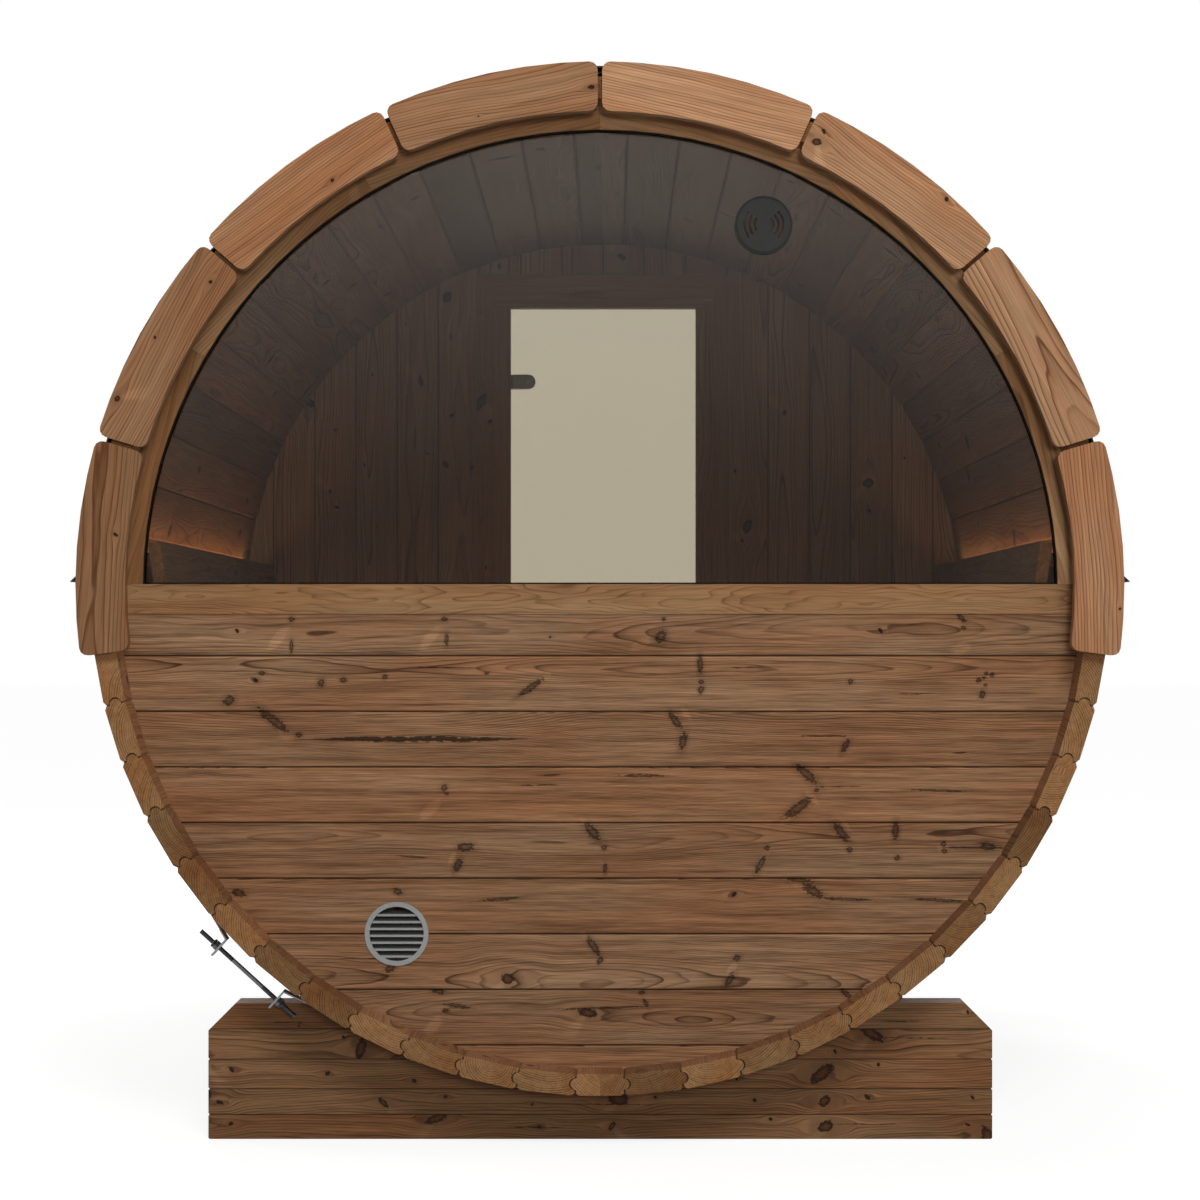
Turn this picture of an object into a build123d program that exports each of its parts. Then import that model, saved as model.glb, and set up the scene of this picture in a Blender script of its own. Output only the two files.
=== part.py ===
from build123d import *
import os
from math import acos, asin, atan, atan2, cos, degrees, floor, hypot, radians, sin, sqrt, tan

os.makedirs("parts", exist_ok=True)

# Barrel sauna, in millimetres. The barrel's axis runs along Y. The window end faces -Y and the
# door end faces +Y. The origin is on the ground under the middle of the barrel.

# Fits
seat_gap = 0.3  # between pieces that rest on each other
swing_gap = 5.0  # round the moving door leaf
pin_gap = 0.05  # between a hinge pin and its knuckle

# Barrel
barrel_radius = 983.5  # from the axis to the flat outer face of a stave
stave_thickness = 42.0
stave_length = 2300.0
ground_clearance = 112.5  # under the lowest stave
side_staves = 26  # on each side, between the closing stave and the crown stave
closing_width = 96.2  # the narrow stave that closes the ring at the bottom
bead_radius = 11.0
bead_sides = 12  # of the full round, so that a bead has six flats
notch_width = 8.0  # bevel on each outer corner of a stave
notch_depth = 5.5
vee_width = 4.2  # bevel on each inner corner of a stave
vee_depth = 3.0
croze_depth = 8.0  # groove in the staves that holds an end wall
wall_recess = 90.0  # from the stave ends to the outer face of an end wall

# End walls of horizontal or vertical tongue-and-groove boards
wall_thickness = 42.0
board_pitch = 109.0
tongue_height = 8.0
tongue_thickness = 10.0
board_bevel = 2.6

# Window
frame_ring_width = 44.5  # of the ring that shows inside the staves
sill_height = 5.5  # of the rail's top above the barrel axis
rail_height = 58.5
top_board_height = 82.0  # the narrow board under the rail
glass_thickness = 8.0
glass_bite = 10.0  # hidden in the frame's groove
ring_segments = 6
ring_flats = 8  # along each edge of a segment
wall_sides = 90  # flats round an end wall

# Round vent in the window glass
glass_vent_angle = 65.7  # above the horizontal, towards +X
glass_vent_inset = 117.0  # of its centre from the window ring
glass_vent_radius = 57.0
glass_vent_hole = 45.0
glass_vent_proud = 9.0
slot_width = 5.0
slot_radii = (18.0, 28.0, 38.0)
slot_arc = 84.0
slot_flats = 7
disc_sides = 48

# Round louvre in the lower wall
louvre_angle = 59.6  # below the horizontal, towards -X
louvre_inset = 153.5  # of its centre from the staves
louvre_radius = 62.5
louvre_bore = 55.5
louvre_wall = 2.2
louvre_rim = 4.0
louvre_sleeve = 12.0
slat_pitch = 13.5
slat_thickness = 1.4
slat_depth = 13.0
slat_lip = 4.2
slat_tilt = 42.0
louvre_sides = 36

# Trim ring of curved boards on each end
trim_width = 95.0
trim_overhang = 24.0  # beyond the staves' outer faces
trim_thickness = 28.0
trim_pieces = 8
trim_pitch = 24.5
trim_spacing = 8.5
trim_corner = 16.0
trim_flats = 6  # along each edge of a board
corner_shape = ((1, 0), (0.5, 0.134), (0.134, 0.5), (0, 1))  # in corner radii, inwards and along the board

# Steel bands
band_thickness = 1.5
band_width = 40.0
tensioner_angle = 42.35  # from straight down, towards -X
lug_spacing = 148.0
lug_height = 43.0
lug_thickness = 4.0
lug_foot = 26.0
lug_foot_thickness = 2.0
strap_lift = 19.5  # of the strap's ends off the staves, at the lugs
rod_radius = 4.4
rod_sides = 12
rod_length = 250.0
rod_height = 24.0  # of the rod's centre above the strap's ends
nut_width = 17.0
nut_height = 8.0

# Shingle roof
shingle_thickness = 4.0
shingle_overlap = 50.0
shingle_courses = 11
cap_half_angle = 6.0
roof_edge_height = 8.0  # above the barrel axis
drip_throw = 35.5  # of the drip edge's tip beyond the staves
drip_sheet = 1.5
drip_flange_angle = 4.6
drip_kick_height = 34.0

# Cradles
cradle_width = 1558.0
cradle_thickness = 90.0
cradle_setback = 175.0  # from the stave ends
cradle_boards = (49.0, 51.0, 59.0, 60.0, 51.0)  # from the ground up
cradle_chamfer = 54.0
cradle_vee = 2.5

# Door
door_light_width = 490.0  # between the jambs, as seen from inside
door_head_drop = 167.5  # from the crown of the room to the top of the light
door_sill_rise = 141.5  # from the lowest stave to the bottom of the light
door_lap = 10.0  # of the leaf over its stops
jamb_width = 43.0
door_frame_proud = 12.0
casing_width = 45.0
casing_thickness = 11.0
leaf_thickness = 8.0
hinge_inset = 191.5  # from the light's top and bottom to a hinge
clamp_width = 60.0
clamp_height = 37.6
clamp_plate = 6.0
knuckle_radius = 8.0
knuckle_inset = 2.0  # over the edge of the leaf's rebate
knuckle_standoff = 2.0  # off the frame's face
knuckle_spacing = 1.0
knuckle_sides = 20
hinge_pin_radius = 4.0
hinge_pin_sides = 12
hinge_half_height = 38.0
hinge_leaf_thickness = 3.0
hinge_leaf_margin = 2.0  # from the frame's outer edge
hinge_lug_width = 3.0  # beyond the knuckle
handle_height = 650.0  # of its middle, above the bottom of the light
handle_length = 320.0
handle_radius = 15.0
handle_standoff = 45.0
handle_sides = 20
handle_post_radius = 7.0
handle_post_sides = 12
handle_post_spacing = 220.0
handle_inset = 62.0  # from the light's edge

# Floor
floor_rise = 111.5  # of its top above the lowest stave
floor_half_width = 392.0
floor_bearer_inset = 20.0
floor_slats = 8
floor_slat_gap = 8.0
floor_slat_thickness = 24.0
bearer_width = 45.0
bearer_inset = 90.0  # of the end bearers' middles from the slats' ends
bearer_count = 4

# Benches and backrests
seat_height = 445.0  # above the floor
bench_front = 405.0  # from the middle to the seat's front edge
bench_slats = 4
bench_slat_gap = 9.0
bench_slat_thickness = 28.0
bench_frame_depth = 70.0
bench_frame_width = 45.0
bench_frame_inset = 112.5  # of the end frames' middles from the slats' ends
bench_frames = 3
bench_wall_gap = 6.0
bench_leg_setback = 30.0  # behind the seat's front edge
backrest_top = 92.0  # above the barrel axis
backrest_wall_space = 66.0  # from the staves to its inner face, at the top
backrest_lean = 8.5
backrest_boards = 3
backrest_board_width = 92.0
backrest_board_gap = 7.0
backrest_thickness = 24.0
inner_end_gap = 12.0  # from the ends of floor, benches and backrests to the walls
bracket_width = 60.0
bracket_inset = 180.0
bracket_drop = 40.0  # of a bracket's top below the backrest's top
light_clearance = 6.0  # over the brackets
light_thickness = 10.0
light_width = 14.0

# Sizes that follow from these
axis_height = ground_clearance + barrel_radius
room_radius = barrel_radius - stave_thickness
middle_radius = barrel_radius - stave_thickness / 2
closing_angle = 2 * degrees(atan(closing_width / 2 / barrel_radius))
stave_angle = (360 - closing_angle) / (2 * side_staves + 1)
stave_slope = tan(radians(stave_angle / 2))
crest_radius = hypot(barrel_radius, barrel_radius * stave_slope - notch_width)
wall_radius = room_radius + croze_depth - seat_gap
wall_face = stave_length / 2 - wall_recess
wall_back = wall_face - wall_thickness
wall_middle = wall_face - wall_thickness / 2
croze_width = wall_thickness + 2 * seat_gap
trim_outer = barrel_radius + trim_overhang
trim_inner = trim_outer - trim_width
band_radius = crest_radius + seat_gap
roof_radius = band_radius + band_thickness + seat_gap
cradle_radius = crest_radius + seat_gap
frame_inner = room_radius - frame_ring_width
glass_vent_reach = frame_inner - glass_vent_inset
glass_vent_x = glass_vent_reach * cos(radians(glass_vent_angle))
glass_vent_height = glass_vent_reach * sin(radians(glass_vent_angle))
louvre_x = -(room_radius - louvre_inset) * cos(radians(louvre_angle))
louvre_height = -(room_radius - louvre_inset) * sin(radians(louvre_angle))
drip_reach = roof_radius + drip_throw
door_light_top = room_radius - door_head_drop
door_light_bottom = door_sill_rise - room_radius
floor_height = floor_rise - room_radius
bench_height = floor_height + seat_height
backrest_top_x = sqrt(room_radius**2 - backrest_top**2) - backrest_wall_space
door_half_light = door_light_width / 2
frame_half_width = door_half_light + jamb_width
frame_top = door_light_top + jamb_width
frame_bottom = door_light_bottom - jamb_width
casing_half_width = frame_half_width + casing_width
leaf_half_width = door_half_light + door_lap
rebate_half_width = leaf_half_width + swing_gap
frame_outer_face = wall_face + door_frame_proud
leaf_outer_face = frame_outer_face - swing_gap
leaf_inner_face = leaf_outer_face - leaf_thickness
stop_face = leaf_inner_face - swing_gap
hinge_x = -(rebate_half_width + knuckle_radius - knuckle_inset)
hinge_y = frame_outer_face + knuckle_radius + knuckle_standoff
inner_length = 2 * (wall_back - inner_end_gap)


def on_circle(radius, angle):
    """A point of the barrel's section, by its angle from straight down towards +X."""
    return (radius * sin(radians(angle)), -radius * cos(radians(angle)))


def cross_section(y):
    """The section plane at y, with its origin on the barrel axis. Positive extrusion goes to -Y."""
    return Plane(origin=(0, y, axis_height), x_dir=(1, 0, 0), z_dir=(0, -1, 0))


def plan(height):
    """A level plane at a height above the barrel axis. Positive extrusion goes up."""
    return Plane(origin=(0, 0, axis_height + height), x_dir=(1, 0, 0), z_dir=(0, 0, 1))


def save(node, name):
    node.part.label = name
    export_step(node.part, f"parts/{name}.step")


# Staves, each with a bead that seats in the next one's cove
def stave_profile(angle, width_angle, start_bead, end_bead):
    """Section of a stave, drawn straight down and turned to its angle."""
    slope = tan(radians(width_angle / 2))
    edge = [
        (room_radius * slope - vee_width, -room_radius),
        ((room_radius + vee_depth) * slope - seat_gap / 2, -(room_radius + vee_depth)),
        ((barrel_radius - notch_depth) * slope - seat_gap / 2, -(barrel_radius - notch_depth)),
        (barrel_radius * slope - notch_width, -barrel_radius),
    ]
    with BuildSketch() as profile:
        with BuildLine():
            Polyline(*edge, *[(-x, y) for x, y in reversed(edge)], close=True)
        make_face()
        for side, bead in ((-1, start_bead), (1, end_bead)):
            with Locations(on_circle(middle_radius, side * width_angle / 2)):
                if bead:
                    RegularPolygon(bead_radius, bead_sides)
                else:
                    RegularPolygon(bead_radius + seat_gap, bead_sides, mode=Mode.SUBTRACT)
    return profile.sketch.rotate(Axis.Z, angle)


def side_stave(number, side):
    """Angle, width and beads of a stave, counted up from the closing stave. Beads point up."""
    angle = closing_angle / 2 + (number - 0.5) * stave_angle
    if side > 0:
        return (angle, stave_angle, False, True)
    return (-angle, stave_angle, True, False)


def build_staves(name, staves):
    profiles = [stave_profile(*stave) for stave in staves]
    cut_height = croze_depth + vee_depth
    with BuildPart() as node:
        with BuildSketch(cross_section(stave_length / 2)):
            add(profiles)
        extrude(amount=stave_length)
        for middle in (wall_middle, -wall_middle):
            with BuildSketch(cross_section(middle + croze_width / 2)):
                for angle, width_angle, _, _ in staves:
                    width = 2 * (barrel_radius * tan(radians(width_angle / 2)) + vee_width)
                    x, y = on_circle(room_radius + croze_depth - cut_height / 2, angle)
                    with Locations(Location((x, y, 0), (0, 0, angle))):
                        Rectangle(width, cut_height)
            extrude(amount=croze_width, mode=Mode.SUBTRACT)
    save(node, name)


floor_side = 2
group = (side_staves - floor_side) // 3
closing_stave = (0, closing_angle, True, True)
crown_stave = (180, stave_angle, False, False)
floor_staves = [side_stave(n, s) for s in (1, -1) for n in range(1, floor_side + 1)]
build_staves("staves_floor", [closing_stave] + floor_staves)
build_staves("stave_crown", [crown_stave])
for side, hand in ((-1, "left"), (1, "right")):
    for row, level in enumerate(("lower", "middle", "upper")):
        first = floor_side + 1 + row * group
        last = side_staves if row == 2 else first + group - 1
        members = [side_stave(n, side) for n in range(first, last + 1)]
        build_staves(f"staves_{level}_{hand}", members)


# Trim ring of curved boards on each end, over the upper part of the barrel
def polar(radius, angle):
    """A point by its angle from +X, towards up."""
    return (radius * cos(radians(angle)), radius * sin(radians(angle)))


def curved_board(inner, outer, start, size, flats, corner=0):
    """Face of a curved board between two radii, its edges in flats and its corners rounded."""
    points = []
    for radius, way, first in ((outer, 1, start), (inner, -1, start + size)):
        last = first + way * size
        turn = way * degrees(corner / radius)
        shape = corner_shape if corner else ((0, 0),)
        points += [polar(radius - way * corner * a, first + turn * b) for a, b in shape]
        points += [polar(radius, first + way * size * n / flats) for n in range(1, flats)]
        points += [polar(radius - way * corner * a, last - turn * b) for a, b in reversed(shape)]
    with BuildSketch() as face:
        with BuildLine():
            Polyline(*points, close=True)
        make_face()
    return face.sketch


def trim_faces():
    spacing = degrees(trim_spacing / ((trim_inner + trim_outer) / 2))
    faces = []
    for piece in range(trim_pieces):
        start = 90 + (piece - trim_pieces / 2) * trim_pitch + spacing / 2
        size = trim_pitch - spacing
        faces.append(curved_board(trim_inner, trim_outer, start, size, trim_flats, trim_corner))
    return faces


for name, back in (
    ("window_end_trim", -stave_length / 2 - seat_gap),
    ("door_end_trim", stave_length / 2 + seat_gap + trim_thickness),
):
    boards = trim_faces()
    with BuildPart() as trim:
        with BuildSketch(cross_section(back)):
            add(boards)
        extrude(amount=trim_thickness)
    save(trim, name)


# Steel bands, each drawn tight by a threaded rod between two lugs at the lower left
lug_x = lug_spacing / 2
strap_end = (lug_x, -(band_radius + strap_lift))
strap_end_radius = hypot(*strap_end)
leave_angle = degrees(acos(band_radius / strap_end_radius) + atan2(lug_x, -strap_end[1]))


def strap_profile():
    """The band's section, drawn with its tensioner straight down: a circle with two tangent ends."""
    with BuildSketch() as profile:
        with BuildLine():
            around = 360 - 2 * leave_angle
            inside = CenterArc((0, 0), band_radius, leave_angle - 90, around)
            outside = CenterArc((0, 0), band_radius + band_thickness, leave_angle - 90, around)
            for end, sign in ((0, 1), (1, -1)):
                direction = (Vector(sign * strap_end[0], strap_end[1]) - (inside @ end)).normalized()
                length = (Vector(sign * strap_end[0], strap_end[1]) - (inside @ end)).length
                near = Line(inside @ end, (inside @ end) + direction * length)
                far = Line(outside @ end, (outside @ end) + direction * length)
                Line(near @ 1, far @ 1)
        make_face()
    return profile.sketch


def lug_profile(sign):
    """An angle lug on one end of the strap: a foot along the strap and an upright for the rod."""
    slope = radians(leave_angle)
    along = Vector(sign * cos(slope), sin(slope))
    outward = Vector(sign * sin(slope), -cos(slope))
    heel = Vector(sign * strap_end[0], strap_end[1]) + outward * (band_thickness / 2)
    bend = (lug_thickness - lug_foot_thickness * sin(slope)) / cos(slope)
    with BuildSketch() as profile:
        with BuildLine():
            Polyline(
                heel,
                heel + along * lug_foot,
                heel + along * lug_foot + outward * lug_foot_thickness,
                heel + along * bend + outward * lug_foot_thickness,
                (heel.X + sign * lug_thickness, strap_end[1] - lug_height),
                (heel.X, strap_end[1] - lug_height),
                close=True,
            )
        make_face()
    return profile.sketch


strap = strap_profile().rotate(Axis.Z, -tensioner_angle)
lugs = [lug_profile(sign).rotate(Axis.Z, -tensioner_angle) for sign in (1, -1)]
rod_centre = on_circle(-strap_end[1] + rod_height, -tensioner_angle)
rod_direction = (cos(radians(tensioner_angle)), 0, -sin(radians(tensioner_angle)))


def rod_plane(y, along):
    """A plane square to the tension rod, its origin on the rod at a distance from its middle."""
    x = rod_centre[0] + along * rod_direction[0]
    z = axis_height + rod_centre[1] + along * rod_direction[2]
    return Plane(origin=(x, y, z), x_dir=(0, 1, 0), z_dir=rod_direction)


for name, middle in (("band_window_end", -wall_middle), ("band_door_end", wall_middle)):
    with BuildPart() as band:
        with BuildSketch(cross_section(middle + band_width / 2)):
            add(strap)
            add(lugs)
        extrude(amount=band_width)
        with BuildSketch(rod_plane(middle, -rod_length / 2)):
            Circle(rod_radius + pin_gap)
        extrude(amount=rod_length, mode=Mode.SUBTRACT)
    save(band, name)

nut_place = lug_x + band_thickness / 2 * sin(radians(leave_angle)) + lug_thickness + seat_gap
with BuildPart() as tensioners:
    for middle in (-wall_middle, wall_middle):
        with BuildSketch(rod_plane(middle, -rod_length / 2)):
            RegularPolygon(rod_radius, rod_sides)
        extrude(amount=rod_length)
        for start in (nut_place, -nut_place - nut_height):
            with BuildSketch(rod_plane(middle, start)):
                RegularPolygon(nut_width / 2, 6, major_radius=False)
            extrude(amount=nut_height)
save(tensioners, "tension_rods")


# Shingle roof over the upper half, laid in courses that overlap downwards
roof_start = degrees(asin(drip_kick_height / roof_radius))
crown_gap = degrees(seat_gap / 2 / roof_radius)
course_angle = (90 - crown_gap - roof_start) / shingle_courses
overlap_angle = degrees(shingle_overlap / roof_radius)
full_angle = course_angle + overlap_angle
course_lift = (shingle_thickness + seat_gap) * full_angle / course_angle


def course_profile(number):
    """Section of one course on the +X side. Its lower edge rides on the course below."""
    start = roof_start + number * course_angle
    end = min(start + full_angle, 90 - crown_gap)

    def along(share, rise):
        angle = start + share * (end - start)
        return polar(roof_radius + course_lift * (1 - (angle - start) / full_angle) + rise, angle)

    with BuildSketch() as profile:
        with BuildLine():
            under = ThreePointArc(along(0, 0), along(0.5, 0), along(1, 0))
            over = ThreePointArc(*[along(share, shingle_thickness) for share in (0, 0.5, 1)])
            Line(under @ 0, over @ 0)
            Line(under @ 1, over @ 1)
        make_face()
    return profile.sketch


courses = [course_profile(number) for number in range(shingle_courses)]
for name, mirrored in (("roof_shingles_right", False), ("roof_shingles_left", True)):
    with BuildPart() as shingles:
        with BuildSketch(cross_section(stave_length / 2)):
            add([mirror(c, about=Plane.YZ) for c in courses] if mirrored else courses)
        extrude(amount=stave_length)
    save(shingles, name)

cap_radius = roof_radius + course_lift + shingle_thickness + seat_gap
with BuildPart() as ridge_cap:
    with BuildSketch(cross_section(stave_length / 2)):
        with BuildLine():
            size = 2 * cap_half_angle
            under = CenterArc((0, 0), cap_radius, 90 - cap_half_angle, size)
            over = CenterArc((0, 0), cap_radius + shingle_thickness, 90 - cap_half_angle, size)
            Line(under @ 0, over @ 0)
            Line(under @ 1, over @ 1)
        make_face()
    extrude(amount=stave_length)
save(ridge_cap, "ridge_cap")


# Drip edges: a flange under the lowest course and a kick that throws water off the wall
def drip_profile():
    """Section of the drip edge on the +X side, with a pointed kick cut level underneath."""
    kick_angle = roof_start - degrees(seat_gap / roof_radius)
    with BuildSketch() as profile:
        with BuildLine():
            size = drip_flange_angle - kick_angle
            under = CenterArc((0, 0), roof_radius, kick_angle, size)
            over = CenterArc((0, 0), roof_radius + drip_sheet, kick_angle, size)
            Line(under @ 1, over @ 1)
            shoulder = polar(roof_radius + course_lift + shingle_thickness, kick_angle)
            Polyline(
                over @ 0,
                shoulder,
                (drip_reach, roof_edge_height + drip_sheet),
                (drip_reach, roof_edge_height),
                (roof_radius, roof_edge_height),
                under @ 0,
            )
        make_face()
    return profile.sketch


drip = drip_profile()
with BuildPart() as drip_edges:
    with BuildSketch(cross_section(stave_length / 2)):
        add([drip, mirror(drip, about=Plane.YZ)])
    extrude(amount=stave_length)
save(drip_edges, "drip_edges")


# Cradles: stacked boards with a curved seat for the barrel
def cradle_faces():
    """Faces of the boards of a cradle, seen from its end, each with bevelled outer corners."""
    faces = []
    top = sum(cradle_boards) - axis_height
    bottom = -axis_height
    for height in cradle_boards:
        low = bottom + seat_gap / 2
        high = bottom + height - seat_gap / 2
        half = cradle_width / 2
        with BuildSketch() as face:
            with BuildLine():
                Polyline(
                    (-half + cradle_vee, low),
                    (half - cradle_vee, low),
                    (half, low + cradle_vee),
                    (half, high - cradle_vee),
                    (half - cradle_vee, high),
                    (-half + cradle_vee, high),
                    (-half, high - cradle_vee),
                    (-half, low + cradle_vee),
                    close=True,
                )
            make_face()
            with BuildLine():
                Polyline(
                    (-half - cradle_vee, -axis_height),
                    (half + cradle_vee, -axis_height),
                    (half + cradle_vee, top - cradle_chamfer - cradle_vee),
                    (half - cradle_chamfer, top),
                    (-half + cradle_chamfer, top),
                    (-half - cradle_vee, top - cradle_chamfer - cradle_vee),
                    close=True,
                )
            make_face(mode=Mode.INTERSECT)
            Circle(cradle_radius, mode=Mode.SUBTRACT)
        faces.append(face.sketch)
        bottom += height
    return faces


cradle_sections = cradle_faces()
cradle_y = stave_length / 2 - cradle_setback
for name, back in (
    ("cradle_window_end", -cradle_y + cradle_thickness),
    ("cradle_door_end", cradle_y),
):
    with BuildPart() as cradle:
        with BuildSketch(cross_section(back)):
            add(cradle_sections)
        extrude(amount=cradle_thickness)
    save(cradle, name)


# Tongue-and-groove boards, drawn with their length square to the sketch
def board_profile(low, high, has_groove, has_tongue):
    """Section of a board: x is across its thickness, y across its width, its groove at the low edge."""
    half = wall_thickness / 2
    start = low + seat_gap / 2
    end = high - seat_gap / 2
    with BuildSketch() as profile:
        with Locations((0, (start + end) / 2)):
            Rectangle(wall_thickness, end - start)
        chamfer(profile.vertices(), board_bevel)
        if has_groove:
            with Locations((0, start)):
                slot = (tongue_thickness + 2 * seat_gap, 2 * (tongue_height + seat_gap))
                Rectangle(*slot, mode=Mode.SUBTRACT)
        if has_tongue:
            with Locations((0, end + tongue_height / 2)):
                Rectangle(tongue_thickness, tongue_height)
    return profile.sketch


# Window end wall: horizontal boards below a half-round window
def window_wall_edges():
    """Board edges from the rail downwards, the last one past the circle's lowest point."""
    edges = [sill_height - rail_height, sill_height - rail_height - top_board_height]
    while edges[-1] > -wall_radius:
        edges.append(edges[-1] - board_pitch)
    return edges


edges = window_wall_edges()
profiles = [
    board_profile(low, high, low > -wall_radius, high < edges[0])
    for high, low in zip(edges, edges[1:])
]
with BuildPart() as window_wall:
    with BuildSketch(Plane(origin=(0, -wall_middle, axis_height), x_dir=(0, 1, 0), z_dir=(1, 0, 0))):
        add(profiles)
    extrude(amount=wall_radius, both=True)
    with BuildSketch(cross_section(0)):
        RegularPolygon(wall_radius, wall_sides)
    extrude(amount=stave_length, mode=Mode.INTERSECT)
    with BuildSketch(cross_section(0)):
        with Locations((louvre_x, louvre_height)):
            RegularPolygon(louvre_bore, louvre_sides)
    extrude(amount=stave_length, mode=Mode.SUBTRACT)
save(window_wall, "window_wall_boards")

pane_radius = frame_inner + glass_bite
pane_bottom = sill_height - glass_bite
glass_groove = glass_thickness + 2 * seat_gap


def above(height, reach):
    """A rectangle that covers the section above a height."""
    with Locations((0, height + reach / 2)):
        return Rectangle(2 * reach, reach, mode=Mode.INTERSECT)


def cut_glass_groove():
    """The groove that the pane stands in, cut all round the window frame."""
    with BuildSketch(cross_section(-wall_middle + glass_groove / 2)) as groove:
        RegularPolygon(pane_radius + seat_gap, wall_sides)
        above(pane_bottom - seat_gap, barrel_radius)
    extrude(groove.sketch, amount=glass_groove, mode=Mode.SUBTRACT)


segment_angle = (180 - 2 * degrees(asin((sill_height + seat_gap) / wall_radius))) / ring_segments
segment_gap = degrees(seat_gap / frame_inner)
segments = [
    curved_board(
        frame_inner,
        wall_radius,
        90 + (n - ring_segments / 2) * segment_angle + segment_gap / 2,
        segment_angle - segment_gap,
        ring_flats,
    )
    for n in range(ring_segments)
]
with BuildPart() as window_ring:
    with BuildSketch(cross_section(-wall_back)):
        add(segments)
        above(sill_height + seat_gap, barrel_radius)
    extrude(amount=wall_thickness)
    cut_glass_groove()
save(window_ring, "window_ring")

with BuildPart() as window_rail:
    with BuildSketch(cross_section(-wall_back)):
        RegularPolygon(wall_radius, wall_sides)
        with Locations((0, sill_height - rail_height / 2 + seat_gap / 2)):
            Rectangle(2 * barrel_radius, rail_height - seat_gap, mode=Mode.INTERSECT)
    extrude(amount=wall_thickness)
    cut_glass_groove()
save(window_rail, "window_rail")

with BuildPart() as window_glass:
    with BuildSketch(cross_section(-wall_middle + glass_thickness / 2)):
        RegularPolygon(pane_radius, wall_sides)
        above(pane_bottom, barrel_radius)
        with Locations((glass_vent_x, glass_vent_height)):
            RegularPolygon(glass_vent_hole, disc_sides, mode=Mode.SUBTRACT)
    extrude(amount=glass_thickness)
save(window_glass, "window_glass")


# Round vent: two slotted discs joined through the hole in the glass
vent_slots = [
    curved_board(
        radius - slot_width / 2,
        radius + slot_width / 2,
        turned - slot_arc / 2,
        slot_arc,
        slot_flats,
    )
    for radius in slot_radii
    for turned in (0, 180)
]
vent_span = glass_thickness + 2 * seat_gap
vent_plane = Plane(
    origin=(glass_vent_x, -wall_middle - vent_span / 2, axis_height + glass_vent_height),
    x_dir=(1, 0, 0),
    z_dir=(0, -1, 0),
)
with BuildPart() as glass_vent:
    for plane in (vent_plane, vent_plane.offset(-vent_span - glass_vent_proud)):
        with BuildSketch(plane):
            RegularPolygon(glass_vent_radius, disc_sides)
        extrude(amount=glass_vent_proud)
    with BuildSketch(vent_plane):
        RegularPolygon(glass_vent_hole - seat_gap, disc_sides)
    extrude(amount=-vent_span)
    with BuildSketch(vent_plane.offset(glass_vent_proud)):
        add(vent_slots)
    extrude(amount=-vent_span - 2 * glass_vent_proud, mode=Mode.SUBTRACT)
save(glass_vent, "glass_vent")

# Louvre: a rim over the hole in the boards, with a short sleeve that holds tilted slats
louvre_plane = Plane(
    origin=(louvre_x, -wall_face - seat_gap, axis_height + louvre_height),
    x_dir=(1, 0, 0),
    z_dir=(0, -1, 0),
)
slat_rise = (slat_depth * sin(radians(slat_tilt)) + slat_lip) / 2
slat_count = 2 * floor((louvre_bore - slat_rise) / slat_pitch) + 1
with BuildPart() as louvre_vent:
    for row in range(slat_count):
        height = (row - (slat_count - 1) / 2) * slat_pitch
        slat_plane = Plane(
            origin=(louvre_x, louvre_sleeve / 2 - wall_face, axis_height + louvre_height + height),
            x_dir=(0, cos(radians(slat_tilt)), sin(radians(slat_tilt))),
            z_dir=(1, 0, 0),
        )
        with BuildSketch(slat_plane):
            Rectangle(slat_depth, slat_thickness)
            with Locations(Location((-slat_depth / 2, 0, 0), (0, 0, 90 - slat_tilt))):
                Rectangle(slat_lip, slat_thickness)
        extrude(amount=louvre_bore, both=True)
    with BuildSketch(louvre_plane.offset(slat_depth)):
        RegularPolygon(louvre_bore - louvre_wall / 2, louvre_sides)
    extrude(amount=-2 * slat_depth - louvre_sleeve, mode=Mode.INTERSECT)
    with BuildSketch(louvre_plane.offset(louvre_rim)):
        RegularPolygon(louvre_bore - seat_gap, louvre_sides)
        RegularPolygon(louvre_bore - louvre_wall, louvre_sides, mode=Mode.SUBTRACT)
    extrude(amount=-louvre_rim - louvre_sleeve)
    with BuildSketch(louvre_plane):
        RegularPolygon(louvre_radius, disc_sides)
        RegularPolygon(louvre_bore - louvre_wall, louvre_sides, mode=Mode.SUBTRACT)
    extrude(amount=louvre_rim)
save(louvre_vent, "louvre_vent")

# Door end wall: vertical boards round the doorway
boards_per_side = floor(wall_radius / board_pitch) + 1
wall_profiles = [
    board_profile(n * board_pitch, (n + 1) * board_pitch, n > -boards_per_side, n < boards_per_side - 1)
    for n in range(-boards_per_side, boards_per_side)
]


def build_door_wall(name, centre, size):
    """The part of the door wall inside a rectangle, given by its centre and size in the section."""
    with BuildPart() as wall:
        board_plane = Plane(origin=(0, wall_middle, axis_height), x_dir=(0, -1, 0), z_dir=(0, 0, 1))
        with BuildSketch(board_plane):
            add(wall_profiles)
        extrude(amount=wall_radius, both=True)
        with BuildSketch(cross_section(stave_length / 2)):
            RegularPolygon(wall_radius, wall_sides)
            with Locations(centre):
                Rectangle(*size, mode=Mode.INTERSECT)
        extrude(amount=stave_length / 2, mode=Mode.INTERSECT)
    save(wall, name)


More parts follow.
